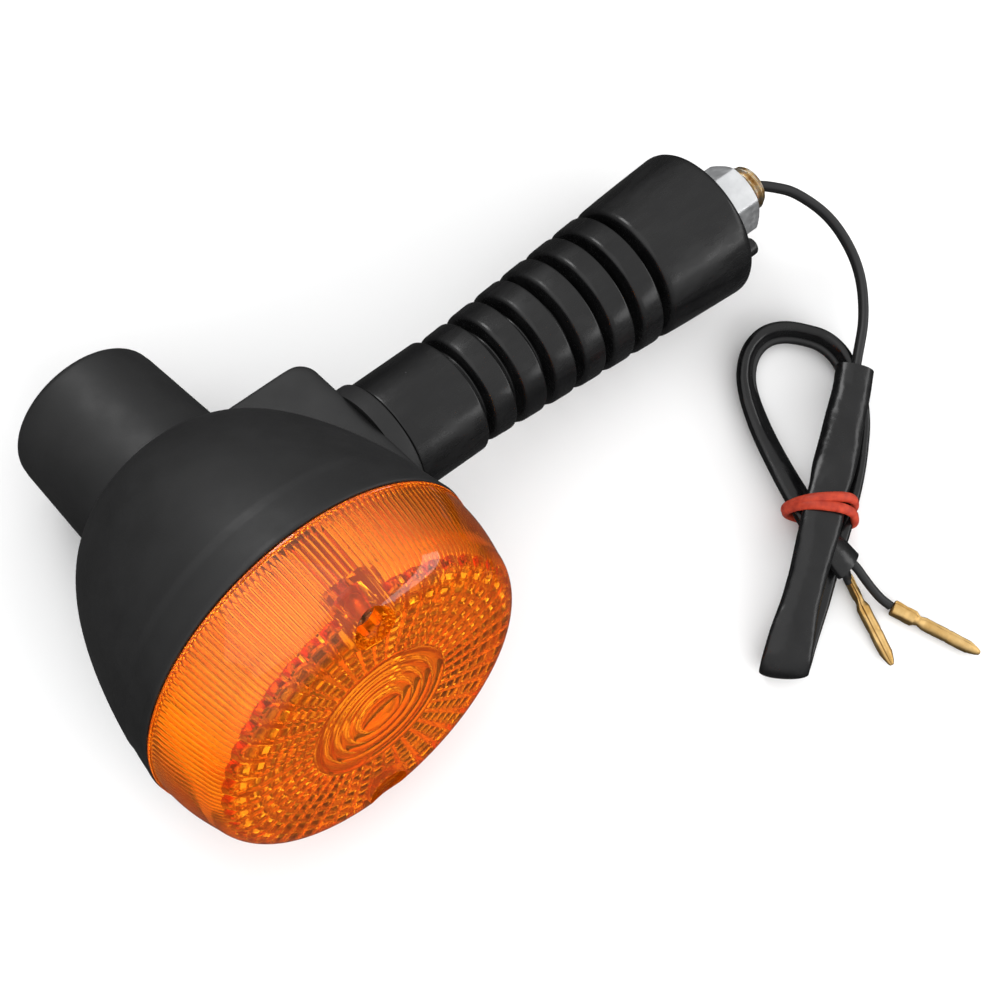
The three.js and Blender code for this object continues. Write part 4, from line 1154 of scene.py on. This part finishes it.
def bulb_base():
    """The brass cap with its two bayonet pins."""
    can = [
        (0, 2.9, 0), (7.3, 2.9, 0.3), (7.5, 3.6, 0.3), (7.2, 4.6, 0.4), (7.5, 5.6, 0.4), (7.5, 16.9, 0.5),
        (6.9, 18.5, 0.6), (0, 18.5, 0),
    ]
    base = turned("bulb_cap", "Y", rounded(can), 96)
    pin = rounded([(0, -8.7, 0), (1.0, -8.7, 0.35), (1.0, 8.7, 0.35), (0, 8.7, 0)])
    combine(base, turned("pins", "X", pin, 32, shift=(0, 14.0, 0)), "UNION")
    finished(base, "bulb", FINISH["brass"], ["bulb_base"], sharp=35)


def bulb_filament():
    """The coil, the two wires that hold it and the glass pinch they come out of."""
    t = np.linspace(-1, 1, 160)
    coil = np.stack([t * 3, -17.8 + 0.4 * np.cos(t * 50), 0.4 * np.sin(t * 50)], axis=1)
    wires = [lamp_wire("coil", coil, 0.11, 6)]
    for s in (-1, 1):
        leg = np.array([(s * 3, -17.8, 0), (s * 2.6, -12, 0), (s * 1.4, -6, 0), (s * 1.2, -3, 0)])
        wires.append(lamp_wire("leg", smooth_route(leg, 6), 0.22, 10))
    foot = [(0, -7), (1.6, -6.6), (2.4, -4), (2.6, 0), (4.6, 2.2), (4.6, 2.6), (0, 2.6)]
    filament = joined("bulb_filament_wires", [turned("pinch", "Y", foot, 48), *wires])
    finished(filament, "bulb", FINISH["tungsten"], ["bulb_filament"], sharp=50)


def lamp_wire(name, line, radius, sides):
    """A thin round wire along lamp points."""
    _, side, normal = carried_frames(line, np.array([0.1, 0.2, 1.0]))
    turn = angles(sides)[None, :, None]
    grid = line[:, None] + radius * (np.cos(turn) * side[:, None] + np.sin(turn) * normal[:, None])
    return new_mesh(name, to_row(grid.reshape(-1, 3)), capped(*grid.shape[:2]))


SPRING_FRONT_Y = 25.75
SPRING_BACK_Y = 29.65
SPRING_RADIUS = 5.6
SPRING_WIRE_RADIUS = 0.4
SPRING_TURNS = 4.5
INNER_LIVE_ROUTE = [
    (0, 26.7, 0), (0, 30, 0), (0.8, 34, 0), (4, 37.6, 0), (8.3, 37.2, 0), (10.8, 33, 0), (11, 26, 0),
    (11.2, 17, 0.6), (13.5, 8.5, 1.2), (18, 2.6, 1.4), (22.5, 0.6, 1.4), (26, 0.3, 1.4),
]


def live_contact():
    """The spring behind the contact disc, which is pressed together, and the lead soldered to the rivet."""
    turn = np.linspace(0, SPRING_TURNS * 2 * np.pi, 200)
    rise = np.clip((turn / turn[-1] - 0.17) / 0.66, 0, 1)
    y = SPRING_FRONT_Y + (SPRING_BACK_Y - SPRING_FRONT_Y) * rise
    line = np.stack([SPRING_RADIUS * np.cos(turn), y, SPRING_RADIUS * np.sin(turn)], axis=1)
    coil = lamp_wire("contact_spring_coil", line, SPRING_WIRE_RADIUS, 10)
    finished(coil, "head", FINISH["spring_steel"], ["contact_spring"], sharp=60)
    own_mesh(coil)
    line = smooth_route([np.array(point, float) for point in INNER_LIVE_ROUTE], 6)
    wire = lamp_wire("inner_lead_live_wire", line, 1.0, 16)
    finished(wire, None, FINISH["lead_vinyl"], ["inner_lead_live"], sharp=60)
    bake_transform(wire)


reflector()
bulb_glass()
bulb_base()
bulb_filament()
live_contact()

# ---- Rubber stem ----

STEM_RADIUS = 12.24
STEM_BORE = 3.5
STEM_FROM_X = 38.3
FIRST_RIB_X = 56.8
RIB_PITCH = 7.3
GROOVE_WIDTH = 2.15
GROOVE_RADIUS = 8.8
SHOULDER_X = 122.3
SHOULDER_RADIUS = 16.3
RECESS_RADIUS = 9.2


def rib_corners(index):
    """A rib's four corners: rounder on the head side, with a slight flare."""
    start = FIRST_RIB_X + RIB_PITCH * index
    end = start + RIB_PITCH - GROOVE_WIDTH
    radius = 11.8 + 0.52 * index
    return [
        (GROOVE_RADIUS, start + 0.1, 0.5), (radius - 0.1, start, 1.1), (radius + 0.25, end, 0.55),
        (GROOVE_RADIUS, end - 0.1, 0.5),
    ]


def bent_piece(piece, nodes):
    """Finishes a length of the stem, hides the CAD nodes it replaces and bakes its place into its mesh, on no
    body.
    """
    finished(piece, None, FINISH["stem_rubber"], nodes, sharp=42)
    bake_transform(piece)


SEAM_X = FIRST_RIB_X + 3 * RIB_PITCH - GROOVE_WIDTH / 2


def head_half():
    """The stem's rubber from the head to the seam between its two halves."""
    ribs = [corner for index in (0, 1, 2) for corner in rib_corners(index)]
    neck_x = FIRST_RIB_X - GROOVE_WIDTH
    corners = [
        (STEM_CLEAR_RADIUS, STEM_FROM_X, 0), (STEM_RADIUS - 0.1, STEM_FROM_X, 0.5),
        (STEM_RADIUS, neck_x, 0.6), (GROOVE_RADIUS, neck_x - 0.1, 0.5), *ribs,
        (GROOVE_RADIUS, SEAM_X - 0.02, 0),
        (STEM_BORE, SEAM_X - 0.02, 0), (STEM_BORE, 52, 0), (STEM_CLEAR_RADIUS, 50.5, 0),
    ]
    piece = turned("stem_rubber_inner", "X", rounded(corners, steps=6), 160, closed=True)
    bent_piece(piece, ["stem_head_end", "stem_inner_ribs"])


def mount_half():
    """The stem's rubber from the seam to its shoulder, with the locating peg."""
    ribs = [corner for index in (3, 4, 5) for corner in rib_corners(index)]
    start = FIRST_RIB_X + RIB_PITCH * 6
    recess_x = SHOULDER_X - 0.3
    corners = [
        (STEM_BORE, SEAM_X + 0.02, 0), (GROOVE_RADIUS, SEAM_X + 0.02, 0), *ribs,
        (GROOVE_RADIUS, start + 0.1, 0.5), (14.75, start, 1.3), (15.3, start + 6, 6),
        (SHOULDER_RADIUS, SHOULDER_X, 2.2), (RECESS_RADIUS, SHOULDER_X, 0.1), (RECESS_RADIUS, recess_x, 0),
        (STEM_CLEAR_RADIUS, recess_x, 0), (STEM_CLEAR_RADIUS, start + 4, 0), (STEM_BORE, start + 4, 0),
    ]
    piece = turned("stem_rubber_outer", "X", rounded(corners, steps=6), 160, closed=True)
    peg = rounded([(0, 119, 0), (1.9, 119, 0), (1.9, 126.1, 0.7), (0, 126.1, 0)], steps=5)
    combine(piece, turned("peg", "X", peg, 48, shift=(0, -11.8, 0)), "UNION")
    nodes = ["stem_middle", "stem_outer_ribs", "stem_mount_end"]
    bent_piece(piece, nodes)


head_half()
mount_half()

# ---- Mounting stud, washer and nut ----

THREAD_PITCH = 1.25
STUD_FROM_X = 112.0
STUD_END_X = 137.5
STUD_BORE = 3.0
NUT_FROM_X = 125.0
NUT_TO_X = 133.0
NUT_FLATS = 14.0
NUT_TURN = 0.616
NUT_RECESS_RADIUS = 5.25
WASHER_X = 123.65


def thread_depth(x, turn, crest, root):
    """Radius of a rounded 60 degree thread at each x and angle."""
    share = (x / THREAD_PITCH - turn / (2 * np.pi)) % 1.0
    wave = np.clip((np.abs(share - 0.5) * 2 - 0.12) / 0.76, 0, 1)
    return crest - (crest - root) * wave


def mount_stud():
    """The hollow stud with its thread."""
    turn = angles(72)
    rows = []
    for x in np.arange(STUD_FROM_X, STUD_END_X - 0.1, 0.11):
        end = np.clip((STUD_END_X - x) / 0.9, 0, 1)
        radius = np.minimum(thread_depth(x, turn, 4.9, 4.2), 4.1 + 0.8 * end)
        rows.append(around("X", radius, x, turn))
    mouth = [(3.9, STUD_END_X), (3.25, STUD_END_X), (STUD_BORE, STUD_END_X - 0.3), (STUD_BORE, STUD_FROM_X)]
    rows.extend(around("X", np.full_like(turn, r), x, turn) for r, x in mouth)
    piece = lamp_mesh("mount_stud_thread", np.array(rows), closed_rows=True)
    finished(piece, "mount", FINISH["yellow_zinc_steel"], ["mount_stud"], sharp=50)


def mount_nut():
    """A hexagon nut, chamfered on both faces, with its thread inside."""
    turn = angles(240)
    sector = (turn + NUT_TURN) % (math.pi / 3) - math.pi / 6
    hexagon = (NUT_FLATS / 2) / np.cos(sector)
    hexagon = -np.log(np.exp(-hexagon * 6) + math.exp(-8.0 * 6)) / 6
    stations = [
        np.linspace(NUT_FROM_X, NUT_FROM_X + 1.2, 10), np.linspace(NUT_FROM_X + 2, NUT_TO_X - 2, 5),
        np.linspace(NUT_TO_X - 1.2, NUT_TO_X, 10),
    ]
    rows = []
    for x in np.concatenate(stations):
        depth = min(x - NUT_FROM_X, NUT_TO_X - x)
        rows.append(around("X", np.minimum(hexagon, 6.85 + depth * 1.75), x, turn))
    rows.append(around("X", np.full_like(turn, NUT_RECESS_RADIUS), NUT_TO_X - 0.02, turn))
    for x in np.arange(NUT_TO_X - 0.5, NUT_FROM_X + 0.4, -0.12):
        rows.append(around("X", thread_depth(x, turn, 5.15, 4.95), x, turn))
    rows.append(around("X", np.full_like(turn, NUT_RECESS_RADIUS), NUT_FROM_X + 0.02, turn))
    piece = lamp_mesh("mount_nut_hexagon", np.array(rows), closed_rows=True)
    finished(piece, "nut", FINISH["zinc_steel"], ["mount_nut"], sharp=28)


def spring_washer():
    """A split washer whose two ends stand a little apart."""
    corners = [(5.25, -1.0, 0.2), (8.4, -0.95, 0.2), (8.4, 0.95, 0.2), (5.25, 1.0, 0.2)]
    section = np.array(rounded(corners, steps=3))
    turn = np.radians(np.linspace(4, 356, 120)) - 0.9
    rows = []
    for share, angle in zip(np.linspace(-1, 1, 120), turn):
        x = WASHER_X + 0.18 * share + section[:, 1] * 0.86
        rows.append(np.stack([x, section[:, 0] * math.cos(angle), section[:, 0] * math.sin(angle)], axis=1))
    grid = np.array(rows)
    piece = new_mesh("spring_washer_split", to_row(grid.reshape(-1, 3)), capped(*grid.shape[:2]))
    finished(piece, "washer", FINISH["zinc_steel"], ["spring_washer"], sharp=35)


mount_stud()
mount_nut()
spring_washer()

# ---- Finishes of the CAD nodes that stay ----

SLOT_OF = {part["node"]: part["material_slot"] for part in frame["record"]["subparts"]}


def finish_kept_nodes():
    """Gives the CAD nodes that no piece replaces the finish of their slot."""
    for name, node in frame["nodes"].items():
        if node.hide_render:
            continue
        mark_pattern(node.data)
        for slot in node.material_slots:
            slot.material = FINISH[SLOT_OF[name]]


finish_kept_nodes()
